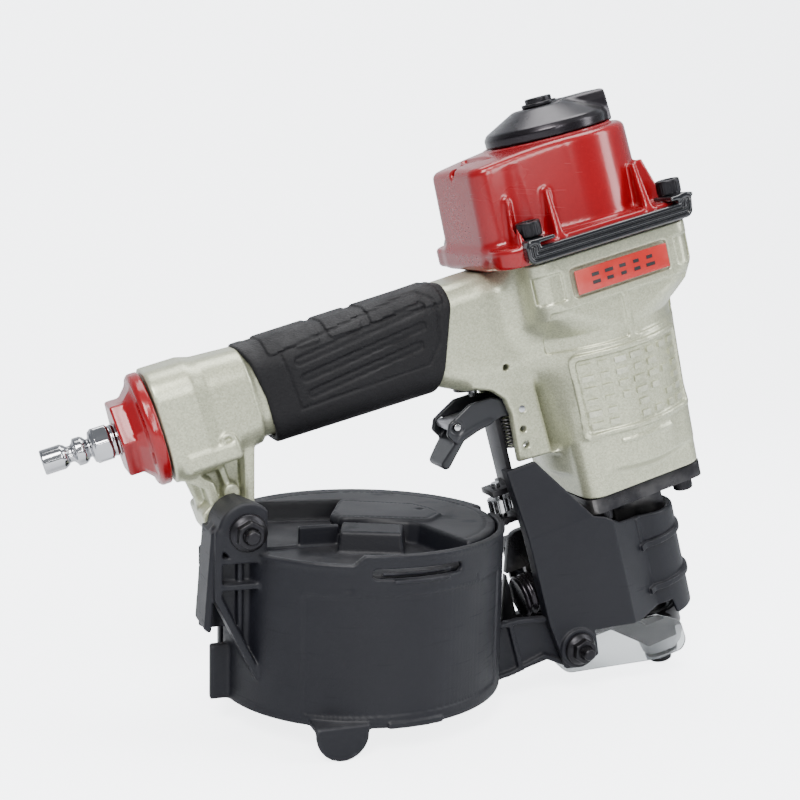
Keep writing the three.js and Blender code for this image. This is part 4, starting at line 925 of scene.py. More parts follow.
def magazineShape(x, y, z):
    d = drum
    radius, angle = drumPlaces(x, y)
    outer, wall = d["radius"], d["wall"]
    arc = angle * outer
    u, w = driveOf(x, z)
    rim = along(x, [-300, -175.2, -171.4, -80], [d["lowRim"], d["lowRim"], d["rim"], d["rim"]])
    nearSide = np.where(angle < 0, np.maximum(angle + 0.02, -angle - math.pi * 0.98) * outer,
                        np.abs(y - d["y"]) + 1)
    outside = raised(radius - outer, slab(z, rim - 2.2, rim + 3), 0.5)
    shell = both(np.maximum(outside, (outer - wall) - radius), slab(z, d["floor"], rim), 0.5)
    near = np.radians
    recess = roundedRect(arc - near(-84.3) * outer, z - 39.6 - (arc - near(-84.3) * outer) * 0.012, 47.6,
                         23.6, 1.2)
    away = only(radius > outer - 2.0)
    shell = inset(shell, recess + away, 0.6)
    shell = inset(shell, np.hypot(arc - near(-112.5) * outer, z - 65.6) - 1.5 + away, 0.5)
    shell = inset(shell, roundedRect(arc - near(-58.4) * outer, z - 65.4, 0.7, 1.7, 0.6) + away, 0.4)
    ledge = roundedRect(arc - near(-85.0) * outer, z - 68.7, 11.8, 0.75, 0.7)
    shell = raised(shell, ledge + away, 1.0)
    lip = roundedRect(arc - near(-86.5) * outer, z - 12.2, 11.6, 1.3, 0.8)
    shell = raised(shell, lip + away, 1.1)
    shell = np.maximum(shell, nearSide)
    slot = roundedRect(arc - near(-85.9) * outer, z - 71.7, 19.3, 1.9, 1.85) + only(y < d["y"])
    body = carve(shell, slot, 0.5)
    bar = np.maximum(roundedRect(arc - near(-85.9) * outer, z - 71.3, 15.5, 0.6, 0.5),
                     np.abs(radius - 57.6) - 0.8)
    body = join(body, np.maximum(bar, nearSide), 0)
    floor = both(radius - outer, slab(z, d["floor"], d["floor"] + 2.6), 0.5)
    body = join(body, floor, 0.6)
    # bracket that reaches up to the rear bolt
    plate = both(softPolygon(x, z, [(-223, 86), (-223, 58), (-206, 25), (-200, 25), (-200, 78), (-208, 84)],
                             0.6), slab(y, -30.5, -27.5))
    edge = both(path(x, z, [(-221.2, 84), (-221.4, 58.6), (-205.6, 26.4)]) - 1.5, slab(y, -36, -20), 0.5)
    shelf = np.minimum(np.abs(z - 73.2) - 1.2, np.abs(z - 62.8) - 1.2)
    shelves = both(shelf, np.maximum(slab(x, -221.5, -198), slab(y, -36, -18)), 0.3)
    upright = both(np.abs(x + 212.4) - 1.1, np.maximum(slab(z, 40, 84), slab(y, -33, -20)), 0.3)
    side = both(softPolygon(x, z, [(-223.6, 84), (-226.4, 46), (-223.6, 44), (-220.6, 84)], 0.5),
                slab(y, -33, -14), 0.5)
    boss = both(np.hypot(x - d["bolt"][0], z - d["bolt"][1]) - 11.6, slab(y, -36, -14), 1.0)
    web = both(softPolygon(x, z, [(-221, 84), (-214, 76), (-188, 75.4), (-196, 77.4), (-202, 86)], 0.8),
               slab(y, -36, -30), 0.6)
    bracket = join(join(join(plate, edge, 0.8), join(shelves, upright, 0.5), 0.8), join(side, boss, 0.8),
                   1.0)
    bracket = join(bracket, web, 1.5)
    fin = both(roundedBox(x, y, z, ((-220.4, -209), (-16.5, -12.5), (11.4, 34)), 0.6), -9.0)
    bracket = join(bracket, fin, 0.6)
    # arm that ends under the nose cover
    armPlan = softPolygon(u, w, [(-104, 63), (-75, 59.6), (-60, 55), (-45, 46.6), (-44, 32), (-57.5, 29.4),
                                 (-68, 38), (-84, 36.5), (-104, 38)], 1.2)
    arm = both(armPlan, slab(y, -24.2, -22.6), 0)
    ribs = both(np.abs(armPlan + 1.0) - 1.0, slab(y, -26.3, -22.6), 0.3)
    post = both(np.abs(u + 79.5) - 1.0, np.maximum(armPlan, slab(y, -26.3, -22.6)), 0.3)
    eye = both(np.hypot(u + 52.4, w - 38.3) - 7.2, slab(y, -26.3, -22.6), 0.4)
    arm = join(join(arm, ribs, 0.4), join(post, eye, 0.4), 0.5)
    extras = np.maximum(join(bracket, arm, 0), (outer - wall) - radius)
    body = join(body, extras, 1.2)
    # feet
    fx, fr = d["footX"], d["footRadius"]
    for y0, y1, inner in ((-64.6, -61.6, (-64.6, -50)), (45.0, 48.0, (44.0, 48.0))):
        disc = np.maximum(np.hypot(x - fx, z - fr) - fr, z - fr)
        drop = np.minimum(disc, np.maximum(np.abs(x - fx) - fr, slab(z, fr - 0.5, d["floor"] + 2.4)))
        foot = both(drop, slab(y, y0, y1), 0.7)
        shelfFoot = roundedBox(x, y, z, ((fx - fr, fx + fr), inner, (d["floor"], d["floor"] + 2.5)), 0.6)
        body = join(body, join(foot, shelfFoot, 0.8), 0.8)
    # hinge knuckles for the lid
    hx, hy = d["hinge"]
    knuckles = both(np.hypot(x - hx, y - hy) - 4.6, np.minimum(slab(z, 40, 50), slab(z, 65, 73)), 0.5)
    hingeArm = np.maximum(roundedBox(x, y, z, ((-220, -208), (-12, -7.6), (40, 73)), 0.4),
                          (outer - wall) - radius)
    gap = np.maximum(np.maximum(slab(x, hx - 8, hx + 8), slab(y, hy - 6, hy + 7)), slab(z, 50, 65))
    hingeArm = carve(hingeArm, gap, 0)
    body = join(body, join(knuckles, hingeArm, 0.5), 0.6)
    body = carve(body, np.hypot(x - hx, y - hy) - 2.35, 0)
    body = carve(body, np.hypot(x - d["bolt"][0], z - d["bolt"][1]) - 4.4 + np.where(y < 0, np.float32(0),
                                                                                     np.float32(99)), 0.3)
    body = carve(body, np.hypot(u + 52.4, w - 38.3) - 3.5 + np.where(y < 0, np.float32(0), np.float32(99)),
                 0.2)
    return carve(body, np.maximum(radius - 3.2, slab(z, 5, 16)), 0)


castPiece("magazineBody", magazineShape, (-229, -67, -2), (-42, 50, 98), 0.8, levelToRow, "mouldedBlack",
          "tool", ["magazine_body"])


# magazine lid with its far wall, pocket, block and tongue

lid = {"top": 79.6, "deck": 70.5, "high": [(-126.4, -58), (-134.5, -21), (-138, -17.6), (-163, -5.5),
                                           (-165.5, 3.7), (-153, 31), (-193, 36), (-186, 60), (-130, 66),
                                           (-84, 40), (-84, -36), (-108, -60)],
       "block": [(-164, -6), (-138.5, -17.8), (-145.8, -35.5), (-171, -25.0)], "tongue": [(-164.5, -4.0),
                                                                                          (-165.5, 3.7),
                                                                                          (-154, 29),
                                                                                          (-136, 20),
                                                                                          (-123, 13),
                                                                                          (-118.6, 2),
                                                                                          (-119, -9),
                                                                                          (-128, -18.6)]}


def lidShape(x, y, z):
    d = drum
    radius, angle = drumPlaces(x, y)
    outer, wall = d["radius"], d["wall"]
    inner = outer - wall
    farSide = np.where(angle > 0, np.maximum(0.14 - angle, angle - math.pi * 0.985) * outer,
                       np.abs(y - d["y"]) + 1)
    shell = both(np.maximum(radius - outer, inner - radius), slab(z, 14.1, lid["top"]), 0.6)
    shell = np.maximum(shell, farSide)
    edge = np.where((angle > 0.16) & (angle < math.pi * 0.975), np.float32(outer - 0.5),
                    np.float32(inner - 1.2))
    deck = both(radius - edge, slab(z, 68.0, lid["deck"]), 0.4)
    high = softPolygon(x, y, lid["high"], 2.0)
    slope = (z - lid["deck"]) * 0.16
    solidTop = both(np.maximum(high + slope, radius - edge), slab(z, 69.0, lid["top"]), 0.7)
    block = both(softPolygon(x, y, lid["block"], 1.0) + slope, slab(z, 69.0, lid["top"] - 0.3), 0.6)
    top = join(join(deck, solidTop, 0.8), block, 0.8)
    rib = roundedBox(x, y, z, ((-208, -166), (-12.2, -9.4), (69, lid["top"] - 0.4)), 0.5)
    top = join(top, np.maximum(rib, radius - inner + 1.2), 0.5)
    hollow = np.maximum(np.maximum(high + 2.6, radius - edge + 3), slab(z, 60, lid["top"] - 2.5))
    blockHollow = np.maximum(softPolygon(x, y, lid["block"], 1.0) + 2.6, slab(z, 60, lid["top"] - 2.8))
    top = carve(carve(top, hollow, 0), blockHollow, 0)
    up = only(z > 76)
    tongue = softPolygon(x, y, lid["tongue"], 4.0)
    top = raised(top, tongue + up, 1.0)
    top = inset(top, np.abs(tongue + 2.2) - 0.4 + up, 0.5)
    rimLine = np.maximum(np.abs(radius - (outer - 7.5)) - 0.4, high + 3)
    top = inset(top, rimLine + up, 0.45)
    dimple = np.hypot(x + 125.5, y - 1.0) - 1.6
    top = inset(top, dimple + up, 0.5)
    body = join(shell, top, 0.8)
    hx, hy = d["hinge"]
    knuckle = both(np.hypot(x - hx, y - hy) - 4.6, slab(z, 50.4, 64.6), 0.5)
    arm = np.maximum(roundedBox(x, y, z, ((hx - 2, -206), (-7.2, -3.4), (50.4, 64.6)), 0.4), inner - radius)
    link = np.maximum(np.abs(radius - outer + wall / 2) - wall / 2, slab(z, 50.4, 64.6))
    link = np.maximum(link, np.where(x < d["x"], np.abs(y - d["y"] - 2.5) - 5.0, np.float32(9)))
    body = join(body, join(join(knuckle, arm, 0.4), link, 0), 0.3)
    body = carve(body, np.hypot(x - hx, y - hy) - 2.35, 0)
    return carve(body, np.maximum(np.hypot(x - hx, y - hy) - 36, 71.5 - z), 0)


castPiece("magazineLid", lidShape, (-226, -66, 12), (-91, 58, 83), 0.9, levelToRow, "mouldedBlack",
          "magazine_cover", ["magazine_cover"])


# turned nose pieces

def noseSleeveShape(u, v, w):
    radius = np.hypot(u, v)
    outline = along(w, [5.4, 6.0, 15.5, 16.5, 28.9, 29.6], [5.9, 6.4, 10.2, 10.4, 10.4, 9.9])
    body = np.maximum((radius - outline) * 0.85, slab(w, 5.6, 29.5))
    body = carve(body, np.maximum(radius - 8.0, 9.5 - w), 0.4)
    body = carve(body, radius - 3.8, 0.3)
    return carve(body, roundedRect(u - 9.5, w - 13.5, 2.2, 1.2, 1.0) + np.where((v < 0) & (u > 5), 0.0,
                                                                                9.0), 0.3)


castPiece("noseSleeve", noseSleeveShape, (-12, -12, 4), (12, 12, 31), 0.4, driveToRow, "noseSteel",
          "contact", ["contact_nose"])


def noseTipShape(u, v, w):
    radius = np.hypot(u, v)
    body = both(radius - 5.2, slab(w, 1.55, 5.3), 0.5)
    return carve(body, radius - 3.8, 0.2)


castPiece("noseTip", noseTipShape, (-7, -7, 0), (7, 7, 7), 0.25, driveToRow, "softBlack", "contact",
          ["nose_tip"])


# feed cylinder with ringed end

def feedCylinderShape(u, v, w):
    big, small = np.hypot(v + 12.6, w - 63), np.hypot(v + 9.2, w - 63)
    rings = along(u, [-68, -67.2, -66.2, -65.6, -64.4, -63.8, -62.6, -62, -59.6, -59],
                  [8.6, 9.5, 9.5, 8.9, 8.9, 9.5, 9.5, 8.9, 9.4, 8.8])
    cap = np.maximum((big - rings) * 0.8, slab(u, -68, -59))
    body = join(cap, both(small - 6.1, slab(u, -60, -37), 0.5), 0.6)
    return carve(body, np.maximum(small - 4.4, -57 - u), 0)


castPiece("feedCylinder", feedCylinderShape, (-70, -24, 51), (-35, 0, 75), 0.45, driveToRow, "blackAlloy",
          "tool", ["feed_cylinder"])
print("cast and moulded pieces ready")


# small parts: the same solids with eased edges

easing = {"merge": 0.000002, "flat": math.radians(1.2), "sharp": math.radians(26),
          "shade": math.radians(34)}


def easedPiece(name, nodes, material, body, slotName, width=0.00035, segments=2):
    bm = bmesh.new()
    for node in nodes:
        bm.from_mesh(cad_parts[node].data)
    bmesh.ops.remove_doubles(bm, verts=bm.verts, dist=easing["merge"])
    bmesh.ops.dissolve_limit(bm, angle_limit=easing["flat"], verts=bm.verts, edges=bm.edges)
    bm.normal_update()
    sharp = [e for e in bm.edges if len(e.link_faces) == 2 and e.calc_face_angle(0) > easing["sharp"]]
    bmesh.ops.bevel(bm, geom=sharp, offset=width, segments=segments, profile=0.6, affect="EDGES",
                    clamp_overlap=True)
    bmesh.ops.triangulate(bm, faces=[f for f in bm.faces if len(f.verts) > 4])
    mesh = bpy.data.meshes.new(name)
    bm.to_mesh(mesh)
    bm.free()
    mesh.materials.clear()
    mesh.materials.append(materials[material])
    mesh.shade_smooth()
    mesh.set_sharp_from_angle(angle=easing["shade"])
    obj = bpy.data.objects.new(name, mesh)
    bpy.context.collection.objects.link(obj)
    return settle(obj, body, nodes)


for values in (
    ("labelPlate", ["label_plate"], "labelRed", "tool", "label_red", 0.0003),
    ("capGasket", ["cap_gasket"], "softBlack", "tool", "black_rubber", 0.0001),
    ("endSeal", ["end_cap_seal"], "softBlack", "tool", "black_rubber", 0.0001),
    ("liner", ["cylinder_liner"], "linerAlloy", "tool", "liner_alloy", 0.0003),
    ("bumper", ["bumper"], "softBlack", "tool", "black_rubber", 0.0005),
    ("piston", ["piston"], "linerAlloy", "piston", "liner_alloy", 0.0004),
    ("driverBlade", ["driver_blade"], "brightSteel", "piston", "tool_steel", 0.0002),
    ("headValve", ["head_valve"], "mouldedBlack", "head_valve", "moulded_black", 0.0004),
    ("triggerPin", ["trigger_pin"], "brightSteel", "tool", "tool_steel", 0.0002),
    ("contactLever", ["contact_lever"], "sheetSteel", "lever", "tool_steel", 0.0004),
    ("leverPin", ["contact_lever_pin"], "brightSteel", "trigger", "tool_steel", 0.0002),
    ("valveBody", ["trigger_valve_body"], "blackSteel", "tool", "black_steel", 0.0004),
    ("valveStem", ["valve_stem"], "brightSteel", "stem", "tool_steel", 0.0003),
    ("noseBody", ["nose_body"], "blackSteel", "tool", "nose_steel", 0.0005),
    ("clearShield", ["clear_shield"], "clearPlastic", "tool", "clear_plastic", 0.0003),
    ("contactArm", ["contact_arm"], "blackSteel", "contact", "black_steel", 0.0004),
    ("feedPiston", ["feed_piston"], "brightSteel", "feed", "tool_steel", 0.0003),
    ("feedPawl", ["feed_pawl"], "sheetSteel", "feed", "tool_steel", 0.0003),
    ("noseDoor", ["nose_door"], "noseSteel", "nose_door", "nose_steel", 0.0004),
    ("doorHingePin", ["door_hinge_pin"], "brightSteel", "tool", "tool_steel", 0.0002),
    ("doorLatch", ["door_latch"], "blackSteel", "door_latch", "black_steel", 0.0004),
    ("latchPin", ["latch_pin"], "brightSteel", "nose_door", "tool_steel", 0.0002),
    ("lidHingePin", ["magazine_hinge_pin"], "brightSteel", "tool", "tool_steel", 0.0002),
    ("supportPost", ["support_post"], "brightSteel", "tool", "tool_steel", 0.0004),
    ("nailSupport", ["nail_support"], "mouldedBlack", "nail_support", "moulded_black", 0.0006),
):
    easedPiece(*values)
print("small parts ready")


# geometry node trees for what repeats

class TreeMaker:
    def __init__(self, name, inputs):
        self.tree = bpy.data.node_groups.new(name, "GeometryNodeTree")
        self.sockets = {}
        self.tree.interface.new_socket("Geometry", in_out="INPUT", socket_type="NodeSocketGeometry")
        for label, kind, value in inputs:
            socket = self.tree.interface.new_socket(label, in_out="INPUT", socket_type=kind)
            if value is not None:
                socket.default_value = value
            self.sockets[label] = socket.identifier
        self.tree.interface.new_socket("Geometry", in_out="OUTPUT", socket_type="NodeSocketGeometry")
        self.start = self.tree.nodes.new("NodeGroupInput")
        self.end = self.tree.nodes.new("NodeGroupOutput")

    def node(self, kind, values=(), **settings):
        return addNode(self.tree, kind, values, **settings)

    def value(self, label):
        return self.start.outputs[label]

    def math(self, operation, a, b=0.0):
        return doMath(self.tree, operation, a, b)

    def finish(self, geometry):  # every tree ends in real geometry with its finish
        real = self.node("GeometryNodeRealizeInstances", [("Geometry", geometry)])
        painted = self.node("GeometryNodeSetMaterial", [("Geometry", real.outputs[0]),
                                                        ("Material", self.value("Material"))])
        self.tree.links.new(painted.outputs[0], self.end.inputs[0])
        return self


objectKind, materialKind, intKind = "NodeSocketObject", "NodeSocketMaterial", "NodeSocketInt"


def growPiece(name, maker, seedMesh, values, place, shadeAngle=None):
    # runs a tree on a seed mesh, turns the result into a plain mesh, then puts it in place
    seed = bpy.data.objects.new(name + "Seed", seedMesh)
    seed.matrix_world = place
    bpy.context.collection.objects.link(seed)
    modifier = seed.modifiers.new("grow", "NODES")
    for label, value in values.items():
        modifier[maker.sockets[label]] = value
    modifier.node_group = maker.tree
    for label, value in values.items():
        modifier[maker.sockets[label]] = value
    bpy.context.view_layer.update()
    ready = seed.evaluated_get(bpy.context.evaluated_depsgraph_get())
    mesh = bpy.data.meshes.new_from_object(ready)
    seed.modifiers.remove(modifier)
    bpy.data.objects.remove(seed)
    mesh.transform(place)
    mesh.name = name
    if shadeAngle:
        mesh.shade_smooth()
        mesh.set_sharp_from_angle(angle=shadeAngle)
    obj = bpy.data.objects.new(name, mesh)
    bpy.context.collection.objects.link(obj)
    return obj


def pointMesh(name, points):
    mesh = bpy.data.meshes.new(name)
    mesh.from_pydata([tuple(c / 1000 for c in p) for p in points], [], [])
    return mesh


def makePlacer():  # puts one part at every point, turned by a fixed-seed random angle
    maker = TreeMaker("placeFasteners", [("Part", objectKind, None), ("Tilt", vectorKind, (0, 0, 0)),
                                         ("Spread", floatKind, 1.0), ("Seed", intKind, 4),
                                         ("Material", materialKind, None)])
    part = maker.node("GeometryNodeObjectInfo", [("Object", maker.value("Part"))])
    turn = maker.node("FunctionNodeRandomValue", [("Seed", maker.value("Seed"))], data_type="FLOAT")
    maker.tree.links.new(maker.value("Spread"), turn.inputs[3])
    spin = maker.node("ShaderNodeCombineXYZ", [("Z", turn.outputs[1])])
    copies = maker.node("GeometryNodeInstanceOnPoints", [("Points", maker.value("Geometry")),
                                                         ("Instance", part.outputs["Geometry"]),
                                                         ("Rotation", spin.outputs[0])])
    return maker.finish(copies.outputs[0])


def partMesh(name, shape, low, high, step, material):
    axes = axisGrid(low, high, step)
    field = np.broadcast_to(shape(*axes), [a.size for a in axes]).astype(np.float32)
    points, triangles, quads = skinField(field, low, step)
    return meshPiece(name, points / 1000, triangles, quads, materials[material])


placer = makePlacer()
fastener = {"knurls": 30, "knurlDepth": 0.13, "pitch": 1.25, "seed": 7}


def socketScrewShape(headRadius, high, flat):
    def shape(x, y, z):
        radius, angle = np.hypot(x, y), np.arctan2(y, x)
        wave = fastener["knurlDepth"] * np.cos(angle * fastener["knurls"])
        knurl = np.where(slab(z, 0.9, high - 1.1) < 0, wave, 0.0)
        head = both(radius - headRadius + knurl, slab(z, 0, high), 0.5)
        socket = np.maximum(hexagon(x, y, flat), high * 0.42 - z)
        dish = radius - (flat * 1.15 + (z - high + 0.4))
        head = carve(head, socket, 0.15)
        head = carve(head, np.maximum(dish, high - 0.5 - z), 0.1)
        return join(head, both(radius - headRadius * 0.56, slab(z, -6, 1)), 0)
    return shape


def flangeNutShape(washer, flat, high, stud, studHigh):
    def shape(x, y, z):
        radius, angle = np.hypot(x, y), np.arctan2(y, x)
        skirt = both(radius - along(z, [0, 1.2, 2.6], [washer, washer - 0.3, flat + 0.6]), slab(z, 0, 2.6),
                     0.4)
        grip = both(hexagon(x, y, flat), slab(z, 1.0, high), 0.2)
        grip = np.maximum(grip, (radius - flat * 1.155 + (z - high) * 1.7 + 0.9) * 0.55)
        nut = join(skirt, grip, 0.5)
        turnShare = (z / fastener["pitch"] + angle / (2 * math.pi)) % 1.0
        thread = radius - stud + 0.55 * np.abs(turnShare - 0.5) * 2 * 0.8
        bolt = np.maximum(thread * 0.8, slab(z, -4, studHigh) + np.maximum(radius - stud + 0.9, 0) * 0.7)
        nut = carve(nut, np.maximum(radius - stud - 0.25, high - 0.8 - z), 0)
        return join(nut, bolt, 0)
    return shape


def placeFasteners(name, shape, low, high, step, points, place, material, body, nodes,
                   spread=1.0):
    part = partMesh(name + "Part", shape, low, high, step, material)
    obj = growPiece(name, placer, pointMesh(name, points), {"Part": part, "Spread": spread,
                                                            "Seed": fastener["seed"],
                                                            "Material": materials[material]}, place)
    bpy.data.objects.remove(part)
    return settle(obj, body, nodes)


corners = [(-33.4, -33.4), (33.4, -33.4), (-33.4, 33.4), (33.4, 33.4)]
placeFasteners("capScrews", socketScrewShape(5.0, 6.2, 2.5), (-6, -6, -7), (6, 6, 7.5), 0.34,
               [(a, b, 217.2) for a, b in corners], driveMatrix, "blackSteel", "tool",
               ["cap_screw_1", "cap_screw_2", "cap_screw_3", "cap_screw_4"])
flip = Matrix.Rotation(math.pi, 4, "X")
placeFasteners("noseScrews", socketScrewShape(4.3, 5.3, 2.1), (-5, -5, -7), (5, 5, 6.5), 0.34,
               [(a, b, -91.7) for a, b in ((-22.8, 20.3), (18.8, 20.3), (-22.8, -20.3), (18.8, -20.3))],
               driveMatrix @ flip, "blackSteel", "tool",
               ["nose_screw_1", "nose_screw_2", "nose_screw_3", "nose_screw_4"])
placeFasteners("exhaustScrew", lambda x, y, z: join(socketScrewShape(5.7, 2.2, 2.6)(x, y, z),
                                                    both(np.hypot(x, y) - 7.5, slab(z, -1.6, 0.1), 0.4), 0),
               (-9, -9, -7), (9, 9, 4), 0.36, [(0, 0, 266.8)], driveMatrix, "blackSteel", "tool",
               ["exhaust_screw"])
toNear = Matrix.Rotation(math.radians(90), 4, "X")


def nearPlace(u, v, w):
    return driveMatrix @ Matrix.Translation((u / 1000, v / 1000, w / 1000)) @ toNear


placeFasteners("frontNut", flangeNutShape(7.2, 4.7, 5.6, 2.7, 9.6), (-9, -9, -5), (9, 9, 11.5), 0.36,
               [(0, 0, 0)], nearPlace(-52.4, -30.6, 38.3), "blackSteel", "tool",
               ["front_bolt"])
placeFasteners("rearNut", flangeNutShape(7.6, 4.9, 5.8, 2.9, 9.4), (-10, -10, -5), (10, 10, 12), 0.38,
               [(0, 0, 0)], nearPlace(-177.5, -36.1, 140.2), "blackSteel", "tool",
               ["rear_bolt"])


def makeCoil():  # round wire wound along an axis
    maker = TreeMaker("windSpring", [("Radius", floatKind, 0.021), ("Height", floatKind, 0.011),
                                     ("Turns", floatKind, 5.0), ("Wire", floatKind, 0.0009),
                                     ("Material", materialKind, None)])
    spiral = maker.node("GeometryNodeCurveSpiral", [("Resolution", 20), ("Rotations", maker.value("Turns")),
                                                    ("Start Radius", maker.value("Radius")),
                                                    ("End Radius", maker.value("Radius")),
                                                    ("Height", maker.value("Height"))])
    ring = maker.node("GeometryNodeCurvePrimitiveCircle",
                      [("Resolution", 8), ("Radius", maker.value("Wire"))])
    wire = maker.node("GeometryNodeCurveToMesh", [("Curve", spiral.outputs[0]),
                                                  ("Profile Curve", ring.outputs[0]), ("Fill Caps", True)])
    return maker.finish(wire.outputs[0])


coil = makeCoil()


def springPiece(name, values, place, material, body, nodes):
    values = dict(values, Material=materials[material])
    obj = growPiece(name, coil, pointMesh(name, [(0, 0, 0)]), values, place, math.radians(50))
    bm = bmesh.new()
    bm.from_mesh(obj.data)
    if bm.calc_volume(signed=True) < 0:
        bmesh.ops.reverse_faces(bm, faces=bm.faces)
    bm.to_mesh(obj.data)
    bm.free()
    return settle(obj, body, nodes)


springPiece("headSpring", {"Radius": 0.021, "Height": 0.0104, "Turns": 4.5, "Wire": 0.0009},
            driveMatrix @ Matrix.Translation((0, 0, 0.2146)), "brightSteel", "head_valve",
            ["head_valve_spring"])
springPiece("contactSpring", {"Radius": 0.0022, "Height": 0.014, "Turns": 9.0, "Wire": 0.00045},
            driveMatrix @ Matrix.Translation((-0.0515, -0.0065, 0.1275)), "blackSteel", "tool",
            [])


def makeToothedWheel():  # a disc with square teeth round its rim, on a thin shaft
    maker = TreeMaker("toothedWheel", [("Radius", floatKind, 0.0047), ("Thick", floatKind, 0.006),
                                       ("Teeth", intKind, 14), ("Tooth", floatKind, 0.0011),
                                       ("Shaft", floatKind, 0.0018), ("Shaft Length", floatKind, 0.02),
                                       ("Material", materialKind, None)])
    disc = maker.node("GeometryNodeMeshCylinder", [("Vertices", 42), ("Radius", maker.value("Radius")),
                                                   ("Depth", maker.value("Thick"))])
    shaft = maker.node("GeometryNodeMeshCylinder", [("Vertices", 20), ("Radius", maker.value("Shaft")),
                                                    ("Depth", maker.value("Shaft Length"))])
    ring = maker.node("GeometryNodeMeshCircle",
                      [("Vertices", maker.value("Teeth")), ("Radius", maker.value("Radius"))])
    outward = maker.node("FunctionNodeAlignRotationToVector",
                         [("Vector", maker.node("GeometryNodeInputPosition").outputs[0])], axis="X")
    size = maker.node("ShaderNodeCombineXYZ", [("X", maker.value("Tooth")), ("Y", maker.value("Tooth")),
                                               ("Z", maker.math("MULTIPLY", maker.value("Thick"), 0.96))])
    tooth = maker.node("GeometryNodeMeshCube", [("Size", size.outputs[0])])
    teeth = maker.node("GeometryNodeInstanceOnPoints", [("Points", ring.outputs[0]),
                                                        ("Instance", tooth.outputs[0]),
                                                        ("Rotation", outward.outputs[0])])
    whole = maker.node("GeometryNodeJoinGeometry")
    for part in (teeth.outputs[0], shaft.outputs[0], disc.outputs[0]):
        maker.tree.links.new(part, whole.inputs[0])
    return maker.finish(whole.outputs[0])


wheel = makeToothedWheel()
dialValues = {"Radius": 0.0047, "Thick": 0.006, "Teeth": 14, "Tooth": 0.0011, "Shaft": 0.0018,
              "Shaft Length": 0.020}
dial = growPiece("depthDial", wheel, pointMesh("depthDial", [(0, 0, 0)]),
                 dict(dialValues, Material=materials["brightSteel"]),
                 driveMatrix @ Matrix.Translation((-0.0624, -0.004, 0.104)), math.radians(30))
settle(dial, "dial", ["depth_dial"])


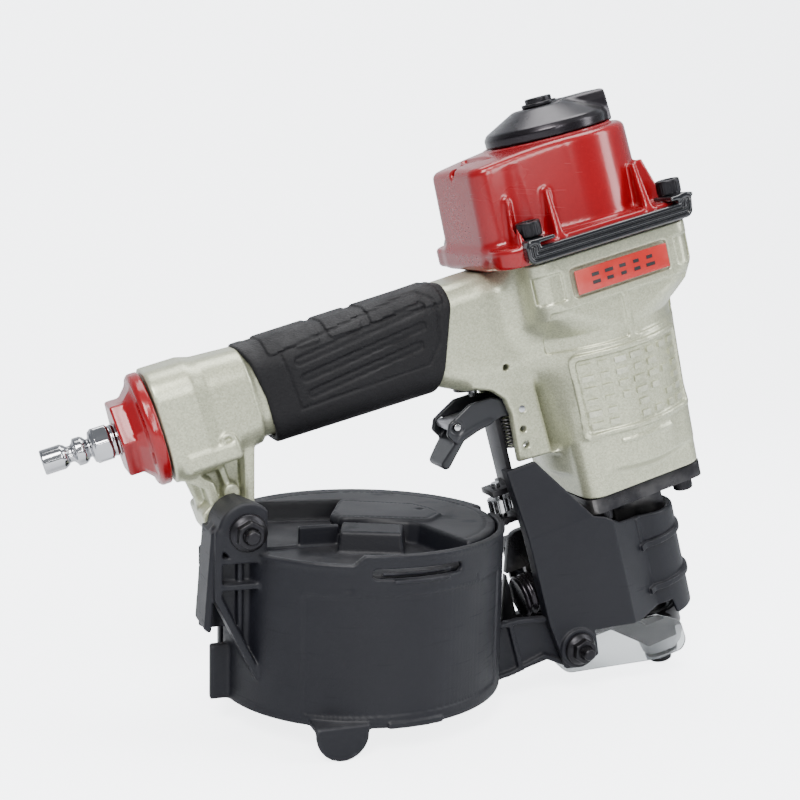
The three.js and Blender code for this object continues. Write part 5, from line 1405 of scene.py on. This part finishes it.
def makeBarRows():  # rows of short raised bars of uneven length, wrapped round a barrel
    maker = TreeMaker("raisedBars", [("Rows", intKind, 6), ("Columns", intKind, 7),
                                     ("Width", floatKind, 0.044), ("Height", floatKind, 0.026),
                                     ("Bar Length", floatKind, 0.0052), ("Bar High", floatKind, 0.0019),
                                     ("Bar Thick", floatKind, 0.0012), ("Barrel", floatKind, 0.0366),
                                     ("Target", objectKind, None), ("Keep", floatKind, 0.86),
                                     ("Seed", intKind, 11), ("Material", materialKind, None)])
    grid = maker.node("GeometryNodeMeshGrid", [("Size X", maker.value("Width")),
                                               ("Size Y", maker.value("Height")),
                                               ("Vertices X", maker.value("Columns")),
                                               ("Vertices Y", maker.value("Rows"))])
    pick = maker.node("FunctionNodeRandomValue", [("Seed", maker.value("Seed"))], data_type="BOOLEAN")
    maker.tree.links.new(maker.value("Keep"), pick.inputs["Probability"])
    stretch = maker.node("FunctionNodeRandomValue", [("Seed", maker.math("ADD", maker.value("Seed"), 3.0))],
                         data_type="FLOAT")
    stretch.inputs[2].default_value, stretch.inputs[3].default_value = 0.62, 1.1
    scale = maker.node("ShaderNodeCombineXYZ", [("X", stretch.outputs[1]), ("Y", 1.0), ("Z", 1.0)])
    size = maker.node("ShaderNodeCombineXYZ", [("X", maker.value("Bar Length")),
                                               ("Y", maker.value("Bar High")),
                                               ("Z", maker.value("Bar Thick"))])
    bar = maker.node("GeometryNodeMeshCube", [("Size", size.outputs[0]), ("Vertices X", 5)])
    rows = maker.node("GeometryNodeInstanceOnPoints", [("Points", grid.outputs[0]),
                                                       ("Selection", pick.outputs[3]),
                                                       ("Instance", bar.outputs[0]),
                                                       ("Scale", scale.outputs[0])])
    flat = maker.node("GeometryNodeRealizeInstances", [("Geometry", rows.outputs[0])])
    spot = maker.node("ShaderNodeSeparateXYZ", [(0, maker.node("GeometryNodeInputPosition").outputs[0])])
    angle = maker.math("DIVIDE", spot.outputs["X"], maker.value("Barrel"))
    across, along = maker.math("SINE", angle), maker.math("MULTIPLY", maker.math("COSINE", angle), -1.0)
    outward = maker.node("ShaderNodeCombineXYZ", [("X", across), ("Y", along)]).outputs[0]
    level = maker.node("ShaderNodeCombineXYZ", [("Z", spot.outputs["Y"])]).outputs[0]

    def atRadius(radius):
        out = maker.node("ShaderNodeVectorMath", [(0, outward), ("Scale", radius)], operation="SCALE")
        return maker.node("ShaderNodeVectorMath", [(0, out.outputs[0]), (1, level)],
                          operation="ADD").outputs[0]

    target = maker.node("GeometryNodeObjectInfo", [("Object", maker.value("Target"))],
                        transform_space="RELATIVE")
    inward = maker.node("ShaderNodeVectorMath", [(0, outward), ("Scale", -1.0)], operation="SCALE").outputs[0]
    reach = maker.math("ADD", maker.value("Barrel"), 0.008)
    ray = maker.node("GeometryNodeRaycast", [("Target Geometry", target.outputs["Geometry"]),
                                             ("Source Position", atRadius(reach)),
                                             ("Ray Direction", inward), ("Ray Length", 0.02)])
    surface = maker.math("SUBTRACT", reach, ray.outputs["Hit Distance"])
    placed = maker.node("GeometryNodeSetPosition", [("Geometry", flat.outputs[0]),
                                                    ("Position", atRadius(maker.math("ADD", surface,
                                                                                     spot.outputs["Z"])))])
    return maker.finish(placed.outputs[0])


bars = makeBarRows()
noticeRows = {"Rows": 6, "Columns": 7, "Width": 0.043, "Height": 0.0262, "Bar Length": 0.0048,
              "Bar High": 0.0024, "Bar Thick": 0.0018, "Barrel": 0.0366, "Keep": 0.86, "Seed": 11}
labelRows = {"Rows": 2, "Columns": 5, "Width": 0.026, "Height": 0.0032, "Bar Length": 0.0040,
             "Bar High": 0.0015, "Bar Thick": 0.0002, "Barrel": 1.0, "Keep": 1.0, "Seed": 3}
for side, turn in (("Right", 0.0), ("Left", math.pi)):
    values = dict(noticeRows, Target=bpy.data.objects["castHousing"], Material=materials["castPaint"])
    place = driveMatrix @ Matrix.Rotation(turn, 4, "Z") @ Matrix.Translation((0, 0, 0.1444))
    notice = growPiece("noticeBars" + side, bars, pointMesh("notice" + side, [(0, 0, 0)]), values, place,
                       math.radians(40))
    settle(notice, "tool", [])
values = dict(labelRows, Target=bpy.data.objects["labelPlate"], Material=materials["labelInk"])
ink = growPiece("labelBars", bars, pointMesh("labelBars", [(0, 0, 0)]), values,
                driveMatrix @ Matrix.Translation((0.0015, 1.0 - 0.0394, 0.194)))
settle(ink, "tool", [])
print("repeated pieces ready")
